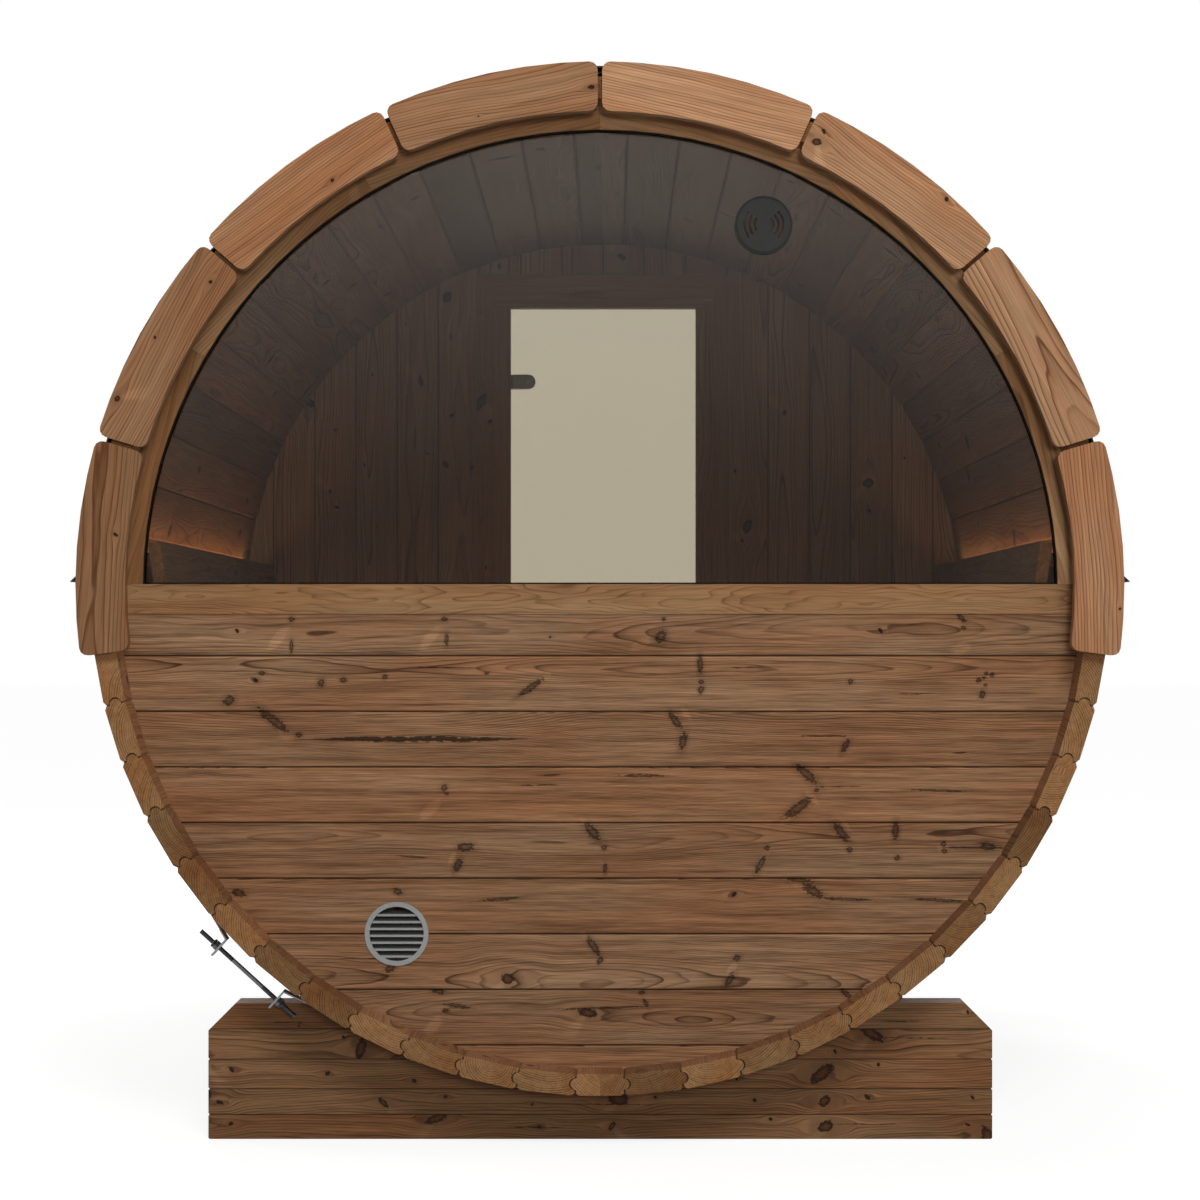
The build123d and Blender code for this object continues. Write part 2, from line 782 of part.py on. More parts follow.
opening_half = frame_half_width + seat_gap
side_width = wall_radius - opening_half
over_height = wall_radius - frame_top - seat_gap
under_height = wall_radius + frame_bottom - seat_gap
side_centre = opening_half + side_width / 2
build_door_wall("door_wall_left", (-side_centre, 0), (side_width, 2 * wall_radius))
build_door_wall("door_wall_right", (side_centre, 0), (side_width, 2 * wall_radius))
build_door_wall(
    "door_wall_over",
    (0, frame_top + seat_gap + over_height / 2),
    (2 * opening_half - 2 * seat_gap, over_height),
)
build_door_wall(
    "door_wall_under",
    (0, frame_bottom - seat_gap - under_height / 2),
    (2 * opening_half - 2 * seat_gap, under_height),
)

# Door frame, rebated for the leaf on its outer side
door_frame_depth = wall_thickness + 2 * door_frame_proud
light_height = door_light_top - door_light_bottom
light_middle = (door_light_top + door_light_bottom) / 2
with BuildPart() as door_frame:
    with BuildSketch(cross_section(frame_outer_face)):
        jamb_height = light_height - 2 * seat_gap
        with Locations((door_half_light + jamb_width / 2, light_middle)):
            Rectangle(jamb_width, jamb_height)
        with Locations((-door_half_light - jamb_width / 2, light_middle)):
            Rectangle(jamb_width, jamb_height)
        with Locations((0, door_light_top + jamb_width / 2), (0, door_light_bottom - jamb_width / 2)):
            Rectangle(2 * frame_half_width, jamb_width)
    extrude(amount=door_frame_depth)
    with BuildSketch(cross_section(frame_outer_face)):
        with Locations((0, light_middle)):
            Rectangle(2 * rebate_half_width, light_height + 2 * (door_lap + swing_gap))
    extrude(amount=frame_outer_face - stop_face, mode=Mode.SUBTRACT)
save(door_frame, "door_frame")


# Casings: mitred boards round the door frame, on both faces of the wall
def casing_board(corners):
    with BuildSketch() as board:
        with BuildLine():
            Polyline(*corners, close=True)
        make_face()
    return board.sketch


def casing_faces():
    """Two uprights and a head, mitred at the top corners, inside the barrel's circle."""
    inner = frame_half_width + seat_gap
    outer = casing_half_width
    low = frame_bottom
    corner_low = frame_top + seat_gap
    corner_high = corner_low + outer - inner
    mitre = seat_gap / 2
    upright = [
        (inner, low),
        (outer, low),
        (outer, corner_high - 2 * mitre),
        (inner, corner_low - 2 * mitre),
    ]
    head = [
        (-inner, corner_low),
        (inner, corner_low),
        (outer, corner_high),
        (-outer, corner_high),
    ]
    boards = []
    for corners in (upright, [(-x, y) for x, y in reversed(upright)], head):
        with BuildSketch() as board:
            add(casing_board(corners))
            Circle(room_radius - seat_gap, mode=Mode.INTERSECT)
        boards.append(board.sketch)
    return boards


casing_boards = casing_faces()
for name, back in (
    ("door_casing_outer", wall_face + seat_gap + casing_thickness),
    ("door_casing_inner", wall_back - seat_gap),
):
    with BuildPart() as casing:
        with BuildSketch(cross_section(back)):
            add(casing_boards)
        extrude(amount=casing_thickness)
    save(casing, name)

# Door leaf: one sheet of glass, drilled for its handles
leaf_height = light_height + 2 * door_lap
handle_x = door_half_light - handle_inset
handle_middle = door_light_bottom + handle_height
handle_posts = [(handle_x, handle_middle + s * handle_post_spacing / 2) for s in (-1, 1)]
with BuildPart() as door_glass:
    with BuildSketch(cross_section(leaf_outer_face)):
        with Locations((0, light_middle)):
            Rectangle(2 * leaf_half_width, leaf_height)
        with Locations(*handle_posts):
            Circle(handle_post_radius + seat_gap, mode=Mode.SUBTRACT)
    extrude(amount=leaf_thickness)
save(door_glass, "door_glass")

# Handles: a round wooden bar on each side, on two posts through the glass
bar_y = (
    leaf_outer_face + handle_standoff,
    leaf_inner_face - handle_standoff,
)
with BuildPart() as door_handles:
    with BuildSketch(cross_section(bar_y[0])):
        with Locations(*handle_posts):
            RegularPolygon(handle_post_radius, handle_post_sides)
    extrude(amount=bar_y[0] - bar_y[1])
    for y in bar_y:
        bar_plane = plan(handle_middle - handle_length / 2)
        with BuildSketch(bar_plane):
            with Locations((handle_x, y)):
                RegularPolygon(handle_radius, handle_sides)
        extrude(amount=handle_length)
save(door_handles, "door_handles")

# Hinges: a clamp on the glass turns on a pin held by the frame's leaf
hinge_heights = (door_light_top - hinge_inset, door_light_bottom + hinge_inset)
knuckle_half = clamp_height / 2
clamp_start = -door_half_light + swing_gap
clamp_back = leaf_inner_face - seat_gap - clamp_plate
bar_front = leaf_outer_face + seat_gap
clamp_end = clamp_start + clamp_width
with BuildPart() as door_hinge_clamps:
    for height in hinge_heights:
        with BuildSketch(plan(height - knuckle_half)):
            with BuildLine():
                Polyline(
                    (clamp_end, bar_front),
                    (clamp_end, bar_front + clamp_plate),
                    (clamp_start, hinge_y + knuckle_radius),
                    (hinge_x, hinge_y + knuckle_radius),
                    (hinge_x, hinge_y),
                    (-rebate_half_width + swing_gap, frame_outer_face + knuckle_standoff),
                    (-leaf_half_width, bar_front),
                    close=True,
                )
            make_face()
            with Locations((hinge_x, hinge_y)):
                RegularPolygon(knuckle_radius, knuckle_sides)
                Circle(hinge_pin_radius + pin_gap, mode=Mode.SUBTRACT)
        extrude(amount=clamp_height)
        with BuildSketch(plan(height - knuckle_half)):
            with Locations((clamp_start + clamp_width / 2, clamp_back + clamp_plate / 2)):
                Rectangle(clamp_width, clamp_plate)
        extrude(amount=clamp_height)
        with BuildSketch(cross_section(hinge_y + knuckle_radius)):
            with Locations((clamp_end - knuckle_half / 2, height)):
                Rectangle(knuckle_half, clamp_height)
            with Locations((clamp_end - knuckle_half, height)):
                Circle(knuckle_half, mode=Mode.SUBTRACT)
        extrude(amount=hinge_y + knuckle_radius - clamp_back, mode=Mode.SUBTRACT)
save(door_hinge_clamps, "door_hinge_clamps")

lug_edge = hinge_x - knuckle_radius - hinge_lug_width
with BuildPart() as door_hinge_frames:
    for height in hinge_heights:
        with BuildSketch(plan(height - hinge_half_height)):
            with Locations((hinge_x, hinge_y)):
                RegularPolygon(hinge_pin_radius, hinge_pin_sides)
        extrude(amount=2 * hinge_half_height)
        plate_face = frame_outer_face + seat_gap
        plate_edge = -frame_half_width + hinge_leaf_margin
        with BuildSketch(plan(height - hinge_half_height)):
            with Locations(((plate_edge + lug_edge) / 2, plate_face + hinge_leaf_thickness / 2)):
                Rectangle(lug_edge - plate_edge, hinge_leaf_thickness)
        extrude(amount=2 * hinge_half_height)
        lug_size = hinge_half_height - knuckle_half - knuckle_spacing
        for low in (height - hinge_half_height, height + knuckle_half + knuckle_spacing):
            with BuildSketch(plan(low)):
                with BuildLine():
                    Polyline(
                        (lug_edge - hinge_lug_width, plate_face),
                        (hinge_x, plate_face),
                        (hinge_x, hinge_y),
                        (lug_edge - hinge_lug_width, plate_face + hinge_leaf_thickness),
                        close=True,
                    )
                make_face()
                with Locations((hinge_x, hinge_y)):
                    RegularPolygon(knuckle_radius, knuckle_sides)
            extrude(amount=lug_size)
save(door_hinge_frames, "door_hinge_frames")

# Floor: slats along the barrel on bearers cut to its curve
slat_width = (2 * floor_half_width - (floor_slats - 1) * floor_slat_gap) / floor_slats
slat_pitch_x = slat_width + floor_slat_gap
floor_base = floor_height - floor_slat_thickness
with BuildPart() as floor_boards:
    with BuildSketch(cross_section(inner_length / 2)):
        with Locations((0, floor_height - floor_slat_thickness / 2)):
            with GridLocations(slat_pitch_x, 1, floor_slats, 1):
                Rectangle(slat_width, floor_slat_thickness)
    extrude(amount=inner_length)
save(floor_boards, "floor_slats")

foot_radius = room_radius - seat_gap
bearer_pitch = (inner_length - 2 * bearer_inset) / (bearer_count - 1)
with BuildPart() as floor_bearers:
    for n in range(bearer_count):
        y = (n - (bearer_count - 1) / 2) * bearer_pitch
        with BuildSketch(cross_section(y + bearer_width / 2)):
            Circle(foot_radius)
            bearer_top = floor_base - seat_gap
            with Locations((0, bearer_top - barrel_radius / 2)):
                width = 2 * (floor_half_width - floor_bearer_inset)
                Rectangle(width, barrel_radius, mode=Mode.INTERSECT)
        extrude(amount=bearer_width)
save(floor_bearers, "floor_bearers")

# Benches: slats along the barrel on frames that stand on the staves
bench_back = sqrt(foot_radius**2 - bench_height**2) - bench_wall_gap
bench_slat_width = (bench_back - bench_front - (bench_slats - 1) * bench_slat_gap) / bench_slats
bench_slat_pitch = bench_slat_width + bench_slat_gap
bench_base = bench_height - bench_slat_thickness


def bench_slat_faces(side):
    faces = []
    for n in range(bench_slats):
        with BuildSketch() as face:
            middle = bench_front + bench_slat_width / 2 + n * bench_slat_pitch
            with Locations((side * middle, bench_height - bench_slat_thickness / 2)):
                Rectangle(bench_slat_width, bench_slat_thickness)
            Circle(foot_radius, mode=Mode.INTERSECT)
        faces.append(face.sketch)
    return faces


for side, hand in ((-1, "left"), (1, "right")):
    seat_faces = bench_slat_faces(side)
    with BuildPart() as bench:
        with BuildSketch(cross_section(inner_length / 2)):
            add(seat_faces)
        extrude(amount=inner_length)
    save(bench, f"bench_{hand}")

frame_pitch = (inner_length - 2 * bench_frame_inset) / (bench_frames - 1)
frame_top_z = bench_base - seat_gap
leg_top_z = frame_top_z - bench_frame_depth - seat_gap
leg_x = bench_front + bench_leg_setback + bench_frame_width / 2
with BuildPart() as bench_supports:
    for n in range(bench_frames):
        y = (n - (bench_frames - 1) / 2) * frame_pitch
        for side in (-1, 1):
            with BuildSketch(cross_section(y + bench_frame_width / 2)):
                with Locations((side * (leg_x + barrel_radius) / 2, frame_top_z - bench_frame_depth / 2)):
                    Rectangle(barrel_radius - leg_x + bench_frame_width, bench_frame_depth)
                Circle(foot_radius, mode=Mode.INTERSECT)
            extrude(amount=bench_frame_width)
            with BuildSketch(cross_section(y + bench_frame_width / 2)):
                with Locations((side * leg_x, leg_top_z - barrel_radius / 2)):
                    Rectangle(bench_frame_width, barrel_radius)
                Circle(foot_radius, mode=Mode.INTERSECT)
            extrude(amount=bench_frame_width)
save(bench_supports, "bench_supports")


# Backrests: boards that lean back, on brackets fixed to the staves, with light strips behind
def lean(side, across, down):
    """A point by its distances from the top of the backrest's inner face."""
    a = radians(backrest_lean)
    x = backrest_top_x + across * cos(a) - down * sin(a)
    return (side * x, backrest_top - across * sin(a) - down * cos(a))


def leaning_box(side, across, down):
    """A rectangle by its range across the backrest's thickness and down its face."""
    corners = [
        lean(side, across[0], down[0]),
        lean(side, across[1], down[0]),
        lean(side, across[1], down[1]),
        lean(side, across[0], down[1]),
    ]
    with BuildSketch() as box:
        with BuildLine():
            Polyline(*corners, close=True)
        make_face()
    return box.sketch


backrest_height = backrest_boards * backrest_board_width + (backrest_boards - 1) * backrest_board_gap
board_step = backrest_board_width + backrest_board_gap
for side, hand in ((-1, "left"), (1, "right")):
    backrest_faces = [
        leaning_box(side, (0, backrest_thickness), (n * board_step, n * board_step + backrest_board_width))
        for n in range(backrest_boards)
    ]
    with BuildPart() as backrest:
        with BuildSketch(cross_section(inner_length / 2)):
            add(backrest_faces)
        extrude(amount=inner_length)
    save(backrest, f"backrest_{hand}")

bracket_y = [-inner_length / 2 + bracket_inset, 0, inner_length / 2 - bracket_inset]
with BuildPart() as backrest_brackets:
    for y in bracket_y:
        for side in (-1, 1):
            block = leaning_box(
                side,
                (backrest_thickness + seat_gap, barrel_radius),
                (bracket_drop, backrest_height),
            )
            with BuildSketch(cross_section(y + bracket_width / 2)):
                add(block)
                Circle(foot_radius, mode=Mode.INTERSECT)
            extrude(amount=bracket_width)
save(backrest_brackets, "backrest_brackets")

strips = [
    leaning_box(
        side,
        (backrest_thickness + seat_gap, backrest_thickness + seat_gap + light_thickness),
        (bracket_drop - light_clearance - light_width, bracket_drop - light_clearance),
    )
    for side in (-1, 1)
]
with BuildPart() as light_strips:
    with BuildSketch(cross_section(inner_length / 2)):
        add(strips)
    extrude(amount=inner_length)
save(light_strips, "light_strips")
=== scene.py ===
import math
import random

import bmesh
import bpy
from mathutils import Matrix, Vector


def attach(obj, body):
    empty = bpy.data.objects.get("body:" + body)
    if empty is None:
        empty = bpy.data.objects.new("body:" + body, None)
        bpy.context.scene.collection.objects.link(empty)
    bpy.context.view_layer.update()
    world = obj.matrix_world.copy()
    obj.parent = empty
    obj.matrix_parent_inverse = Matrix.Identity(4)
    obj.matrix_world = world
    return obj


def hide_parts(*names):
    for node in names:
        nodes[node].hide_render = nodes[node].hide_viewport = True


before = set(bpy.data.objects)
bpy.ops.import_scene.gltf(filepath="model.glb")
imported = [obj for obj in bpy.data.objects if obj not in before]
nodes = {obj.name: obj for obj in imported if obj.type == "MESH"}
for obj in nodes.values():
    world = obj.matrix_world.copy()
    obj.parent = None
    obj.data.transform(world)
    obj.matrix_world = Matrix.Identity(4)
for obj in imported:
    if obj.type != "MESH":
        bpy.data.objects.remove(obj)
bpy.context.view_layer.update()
scene = bpy.context.scene

# Sizes repeated from the part's source, in metres
AXIS = 1.096  # height of the barrel's axis
STAVE_OUTER = 0.9835
ROOM_RADIUS = 0.9415
STAVE_MIDDLE = 0.9625
BEAD = 0.01115
STAVE_HALF_LENGTH = 1.15
CLOSING_HALF = math.atan(0.0481 / STAVE_OUTER)
STAVE_ANGLE = (2 * math.pi - 2 * CLOSING_HALF) / 53
WALL_FACE = 1.06
WALL_BACK = 1.018
WALL_MIDDLE = 1.039
SILL = 0.0055  # above the axis
RAIL_BOTTOM = -0.053
TOP_BOARD = 0.082
BOARD = 0.109
FRAME_INNER = 0.897
TRIM_ANGLE = math.radians(24.5)
TRIM_MIDDLE = 0.96
RING_SEGMENT = math.radians(29.883)
CRADLE_EDGES = (0.049, 0.100, 0.159, 0.219)
CRADLE_MIDDLE = 0.93
GLASS_HALF = 0.004
DOOR_LIGHT_TOP = 0.774
DOOR_LIGHT_BOTTOM = -0.800
DOOR_HALF_LIGHT = 0.245
DOOR_FRAME_HALF = 0.288
LEAF_OUTER = 1.067
LEAF_INNER = 1.059
FRAME_OUTER = 1.072
VENT_X, VENT_Z = 0.3210, 0.7109

# Camera: level, square to the window end
camera = bpy.data.objects.new("camera", bpy.data.cameras.new("camera"))
scene.collection.objects.link(camera)
camera.location = (0.023, -6.995, 0.992)
camera.rotation_euler = (math.pi / 2, 0, 0)
camera.data.sensor_width = 36
camera.data.lens = 90.86
camera.data.shift_x = -0.0099
camera.data.shift_y = 0.0333
camera.data.clip_end = 200
scene.camera = camera


def linear(*rgb):
    """A colour given in 0-255 display values, as the shader's linear colour."""
    return tuple(
        c / 255 / 12.92 if c / 255 <= 0.04045 else ((c / 255 + 0.055) / 1.055) ** 2.4 for c in rgb
    ) + (1.0,)


class Graph:
    """Short calls that add nodes to one node tree."""

    def __init__(self, tree):
        self.tree = tree

    def node(self, kind, inputs=None, **settings):
        made = self.tree.nodes.new(kind)
        for key, value in settings.items():
            setattr(made, key, value)
        for key, value in (inputs or {}).items():
            self.put(made.inputs[key], value)
        return made

    def put(self, socket, value):
        if isinstance(value, bpy.types.NodeSocket):
            self.tree.links.new(value, socket)
        elif socket.type == "VECTOR" and len(value) == 4:
            socket.default_value = value[:3]
        else:
            socket.default_value = value

    def math(self, operation, a, b=0.0, c=0.0):
        made = self.node("ShaderNodeMath", {0: a, 1: b, 2: c}, operation=operation)
        return made.outputs[0]

    def add(self, a, b):
        return self.math("ADD", a, b)

    def sub(self, a, b):
        return self.math("SUBTRACT", a, b)

    def mul(self, a, b):
        return self.math("MULTIPLY", a, b)

    def fma(self, a, b, c):
        return self.math("MULTIPLY_ADD", a, b, c)

    def pick(self, choice, when_zero, when_one):
        """when_zero where choice is 0, when_one where it is 1."""
        return self.fma(choice, self.sub(when_one, when_zero), when_zero)

    def step(self, value, low, high, out_low=0.0, out_high=1.0, smooth=True):
        kind = "SMOOTHSTEP" if smooth else "LINEAR"
        made = self.node(
            "ShaderNodeMapRange",
            {0: value, 1: low, 2: high, 3: out_low, 4: out_high},
            interpolation_type=kind,
        )
        return made.outputs[0]

    def split(self, vector):
        made = self.node("ShaderNodeSeparateXYZ", {0: vector})
        return made.outputs

    def join(self, x=0.0, y=0.0, z=0.0):
        return self.node("ShaderNodeCombineXYZ", {0: x, 1: y, 2: z}).outputs[0]

    def vec(self, operation, a, b=(0, 0, 0)):
        return self.node("ShaderNodeVectorMath", {0: a, 1: b}, operation=operation).outputs[0]

    def noise(self, vector, scale=1.0, detail=2.0, rough=0.5):
        inputs = {"Vector": vector, "Scale": scale, "Detail": detail, "Roughness": rough}
        return self.node("ShaderNodeTexNoise", inputs).outputs

    def hash(self, value):
        """Three random numbers and a fourth from one number."""
        made = self.node("ShaderNodeTexWhiteNoise", {"W": value}, noise_dimensions="1D")
        return (*self.split(made.outputs["Color"]), made.outputs["Value"])

    def mix(self, factor, a, b, blend="MIX"):
        made = self.node("ShaderNodeMix", data_type="RGBA", blend_type=blend)
        colours = [s for s in made.inputs if s.type == "RGBA"]
        self.put(made.inputs[0], factor)
        self.put(colours[0], a)
        self.put(colours[1], b)
        return next(s for s in made.outputs if s.type == "RGBA")

    def scale(self, colour, factor):
        """A colour times a number."""
        made = self.node("ShaderNodeVectorMath", {0: colour}, operation="SCALE")
        self.put(made.inputs["Scale"], factor)
        return made.outputs[0]

    def ramp(self, value, stops):
        made = self.node("ShaderNodeValToRGB", {0: value})
        elements = made.color_ramp.elements
        while len(elements) < len(stops):
            elements.new(0.5)
        for element, (place, level) in zip(elements, stops):
            element.position = place
            element.color = level if isinstance(level, tuple) else (level, level, level, 1)
        return made.outputs[0]


def new_material(name, **values):
    """A material with a Principled shader, and the graph, the shader and its bump input."""
    material = bpy.data.materials.new(name)
    material.use_nodes = True
    material.node_tree.nodes.clear()
    g = Graph(material.node_tree)
    shader = g.node("ShaderNodeBsdfPrincipled", values)
    output = g.node("ShaderNodeOutputMaterial")
    g.put(output.inputs["Surface"], shader.outputs[0])
    return material, g, shader


def bump(g, shader, height, strength, distance):
    made = g.node("ShaderNodeBump", {"Strength": strength, "Distance": distance, "Height": height})
    g.put(shader.inputs["Normal"], made.outputs[0])


def object_point(g):
    """The point in the shared frame, its height taken from the barrel's axis."""
    coordinates = g.node("ShaderNodeTexCoord")
    x, y, z = g.split(coordinates.outputs["Object"])
    return x, y, g.sub(z, AXIS), coordinates.outputs["Normal"]


# Wood: rings round a pith, grain that flows round knots, fibres, and a tone of its own for each board
def knot_layer(g, u, v, seed, spacing, half, smallest, largest, chance, stretch):
    """One row of knots along a board: how much of a knot a point is in, and how far the grain shifts."""
    place = g.fma(u, 1 / spacing, g.mul(seed, 31.7))
    cells = g.node("ShaderNodeTexVoronoi", {"W": place, "Scale": 1.0, "Randomness": 0.5}, voronoi_dimensions="1D")
    du = g.mul(g.sub(place, cells.outputs["W"]), spacing)
    first, second, third = g.split(cells.outputs["Color"])
    dv = g.sub(v, g.mul(g.sub(first, 0.5), g.mul(half, 1.7)))
    there = g.math("LESS_THAN", third, chance)
    size = g.mul(g.fma(second, largest - smallest, smallest), there)
    turn = g.mul(g.sub(g.math("FRACT", g.mul(first, 7.31)), 0.5), 2.6)
    cosine, sine = g.math("COSINE", turn), g.math("SINE", turn)
    along = g.fma(du, cosine, g.mul(dv, sine))
    across = g.sub(g.mul(dv, cosine), g.mul(du, sine))
    longer = g.fma(g.math("FRACT", g.mul(second, 5.17)), stretch, 1.0)
    distance = g.math("SQRT", g.add(g.math("POWER", g.math("DIVIDE", along, longer), 2.0), g.math("POWER", across, 2.0)))
    ragged = g.noise(g.join(g.mul(u, 150.0), g.mul(v, 150.0), seed), 1.0, 3.0, 0.7)[0]
    share = g.fma(g.sub(ragged, 0.5), 1.3, g.math("DIVIDE", distance, g.math("MAXIMUM", size, 1e-5)))
    mark = g.step(share, 1.1, 0.85)
    reach = g.math("POWER", g.mul(size, 1.7), 2.0)
    spread = g.add(g.math("POWER", g.mul(du, 0.36), 2.0), g.math("POWER", dv, 2.0))
    fade = g.step(g.math("ABSOLUTE", du), 0.25 * spacing, 0.1 * spacing)
    shift = g.mul(g.mul(dv, g.math("DIVIDE", reach, g.math("MAXIMUM", spread, g.math("MAXIMUM", reach, 1e-9)))), fade)
    halo = g.mul(g.step(share, 3.2, 0.9), there)
    side = g.math("SIGN", g.sub(second, 0.35))
    out = g.sub(g.mul(dv, -0.74), g.mul(g.mul(du, side), 0.67))
    beside = g.sub(g.mul(g.mul(du, side), 0.74), g.mul(dv, 0.67))
    width = g.fma(out, 0.2, 0.003)
    fan = g.mul(g.step(out, 0.0, 0.012), g.step(out, 0.075, 0.03))
    fan = g.mul(g.mul(fan, g.step(g.math("ABSOLUTE", beside), g.mul(width, 1.5), g.mul(width, 0.4))), there)
    ripple = g.math("SINE", g.fma(out, 2400.0, g.fma(beside, 500.0, g.mul(ragged, 7.0))))
    return mark, shift, share, halo, g.mul(fan, g.fma(ripple, 0.3, 0.6))


def crack_layer(g, u, v, seed, half, chance):
    """How much of a dark crack along the board a point is in."""
    spacing = 0.6
    place = g.fma(u, 1 / spacing, g.mul(seed, 17.3))
    cells = g.node("ShaderNodeTexVoronoi", {"W": place, "Scale": 1.0, "Randomness": 0.6}, voronoi_dimensions="1D")
    du = g.mul(g.sub(place, cells.outputs["W"]), spacing)
    first, second, third = g.split(cells.outputs["Color"])
    wander = g.noise(g.join(g.mul(u, 11.0), g.mul(seed, 3.1), 0.0), 1.0, 3.0)[0]
    away = g.sub(v, g.add(g.mul(g.sub(first, 0.5), g.mul(half, 1.5)), g.mul(g.sub(wander, 0.5), 0.007)))
    reach = g.fma(second, 0.10, 0.03)
    taper = g.step(g.math("ABSOLUTE", du), reach, g.mul(reach, 0.15))
    ragged = g.noise(g.join(g.mul(u, 70.0), g.mul(v, 150.0), seed), 1.0, 2.0)[0]
    width = g.mul(taper, g.step(ragged, 0.35, 0.7, 0.0003, 0.0022))
    there = g.math("LESS_THAN", third, chance)
    return g.mul(there, g.step(g.math("ABSOLUTE", away), g.add(width, 0.0002), g.mul(width, 0.5)))


def build_wood_group():
    tree = bpy.data.node_groups.new("wood", "ShaderNodeTree")
    for name, kind in (
        ("Point", "NodeSocketVector"),
        ("Seed", "NodeSocketFloat"),
        ("Pale", "NodeSocketColor"),
        ("Dark", "NodeSocketColor"),
        ("End Pale", "NodeSocketColor"),
        ("End Dark", "NodeSocketColor"),
        ("Ring", "NodeSocketFloat"),
        ("Contrast", "NodeSocketFloat"),
        ("Half", "NodeSocketFloat"),
        ("Knots", "NodeSocketFloat"),
        ("Variety", "NodeSocketFloat"),
        ("End", "NodeSocketFloat"),
        ("Rift", "NodeSocketFloat"),
        ("Fibre", "NodeSocketFloat"),
        ("Wave", "NodeSocketFloat"),
        ("Cracks", "NodeSocketFloat"),
    ):
        tree.interface.new_socket(name, in_out="INPUT", socket_type=kind)
    for name, kind in (("Color", "NodeSocketColor"), ("Roughness", "NodeSocketFloat"), ("Height", "NodeSocketFloat")):
        tree.interface.new_socket(name, in_out="OUTPUT", socket_type=kind)
    g = Graph(tree)
    given = g.node("NodeGroupInput").outputs
    u, v, w = g.split(given["Point"])
    seed, half = given["Seed"], given["Half"]
    r1, r2, r3, r4 = g.hash(g.mul(seed, 1.37))
    far_u = g.fma(r4, 19.0, u)

    big = knot_layer(g, u, v, seed, 0.43, half, 0.004, 0.0125, given["Knots"], 1.6)
    small = knot_layer(g, u, v, g.add(seed, 3.3), 0.21, half, 0.0018, 0.0042, given["Knots"], 1.1)
    flow = g.sub(v, g.add(big[1], small[1]))

    sway = g.noise(g.join(g.mul(far_u, 1.5), g.mul(seed, 7.7), 0.0), 1.0, 1.0)
    sway_v, sway_w, _ = g.split(sway["Color"])
    wobble = g.noise(g.join(g.mul(far_u, 4.0), g.mul(v, 22.0), g.mul(w, 22.0)), 1.0, 2.0)
    wobble_v, wobble_w, _ = g.split(wobble["Color"])
    pith_v = g.add(g.fma(g.sub(r1, 0.5), 0.16, g.mul(g.sub(sway_v, 0.5), 0.07)), given["Rift"])
    pith_w = g.sub(g.mul(g.sub(sway_w, 0.5), 0.045), g.fma(r2, 0.075, 0.032))
    reach = g.mul(given["Wave"], 0.007)
    ring_v = g.sub(g.fma(g.sub(wobble_v, 0.5), reach, flow), pith_v)
    ring_w = g.sub(g.fma(g.sub(wobble_w, 0.5), reach, w), pith_w)
    from_pith = g.math("SQRT", g.add(g.mul(ring_v, ring_v), g.mul(ring_w, ring_w)))
    rings = g.math("DIVIDE", from_pith, given["Ring"])
    inside = g.math("FRACT", rings)
    late = g.ramp(inside, ((0.0, 0.08), (0.5, 0.16), (0.78, 0.5), (0.9, 1.0), (0.96, 0.9), (1.0, 0.08)))
    each = g.hash(g.add(g.math("FLOOR", rings), g.mul(seed, 11.0)))[3]
    late = g.mul(late, g.fma(each, 0.65, 0.45))

    fibre = g.noise(g.join(g.mul(far_u, 13.0), g.mul(flow, 400.0), g.mul(w, 400.0)), 1.0, 3.0, 0.6)[0]
    streak = g.noise(g.join(g.mul(far_u, 2.6), g.mul(flow, 90.0), g.mul(w, 90.0)), 1.0, 4.0, 0.65)[0]
    patch = g.noise(g.join(g.mul(far_u, 2.1), g.mul(v, 11.0), g.mul(w, 11.0)), 1.0, 3.0)[0]

    amount = g.mul(late, given["Contrast"])
    face = g.mix(amount, given["Pale"], given["Dark"])
    end = g.mix(amount, given["End Pale"], given["End Dark"])
    colour = g.mix(given["End"], face, end)
    tone = g.fma(g.sub(r3, 0.5), given["Variety"], 1.0)
    drift = g.add(g.mul(g.sub(streak, 0.5), 0.95), g.mul(g.sub(fibre, 0.5), 0.85))
    tone = g.mul(tone, g.fma(drift, given["Fibre"], 1.0))
    tone = g.mul(tone, g.step(patch, 0.3, 0.7, 0.84, 1.16, False))
    colour = g.scale(colour, tone)
    hue = g.mix(g.step(patch, 0.36, 0.64), (1.06, 0.96, 0.88, 1), (0.97, 1.02, 1.03, 1))
    colour = g.vec("MULTIPLY", colour, hue)
    ruddy = g.mix(g.mul(g.sub(r4, 0.2), 0.55), colour, g.node("ShaderNodeVectorMath", {0: colour, 1: (1.12, 0.93, 0.80)}, operation="MULTIPLY").outputs[0])
    shown = g.sub(1.0, given["End"])
    curled = g.mul(g.mul(big[4], shown), g.math("MINIMUM", given["Fibre"], 1.0))
    fanned = g.mix(curled, ruddy, g.scale(g.vec("MULTIPLY", ruddy, (0.98, 1.06, 1.10)), 1.45))
    halo = g.mul(g.math("MAXIMUM", big[3], small[3]), 0.35)
    darker = g.mix(g.mul(halo, shown), fanned, g.scale(ruddy, 0.66))
    core = g.mix(g.step(big[2], 0.2, 0.75), linear(84, 50, 30), linear(26, 15, 10))
    mark = g.mul(g.math("MAXIMUM", big[0], small[0]), shown)
    final = g.mix(g.mul(mark, 0.93), darker, core)
    crack = g.mul(crack_layer(g, u, v, seed, half, given["Cracks"]), shown)
    final = g.mix(g.mul(crack, 0.85), final, linear(30, 17, 11))

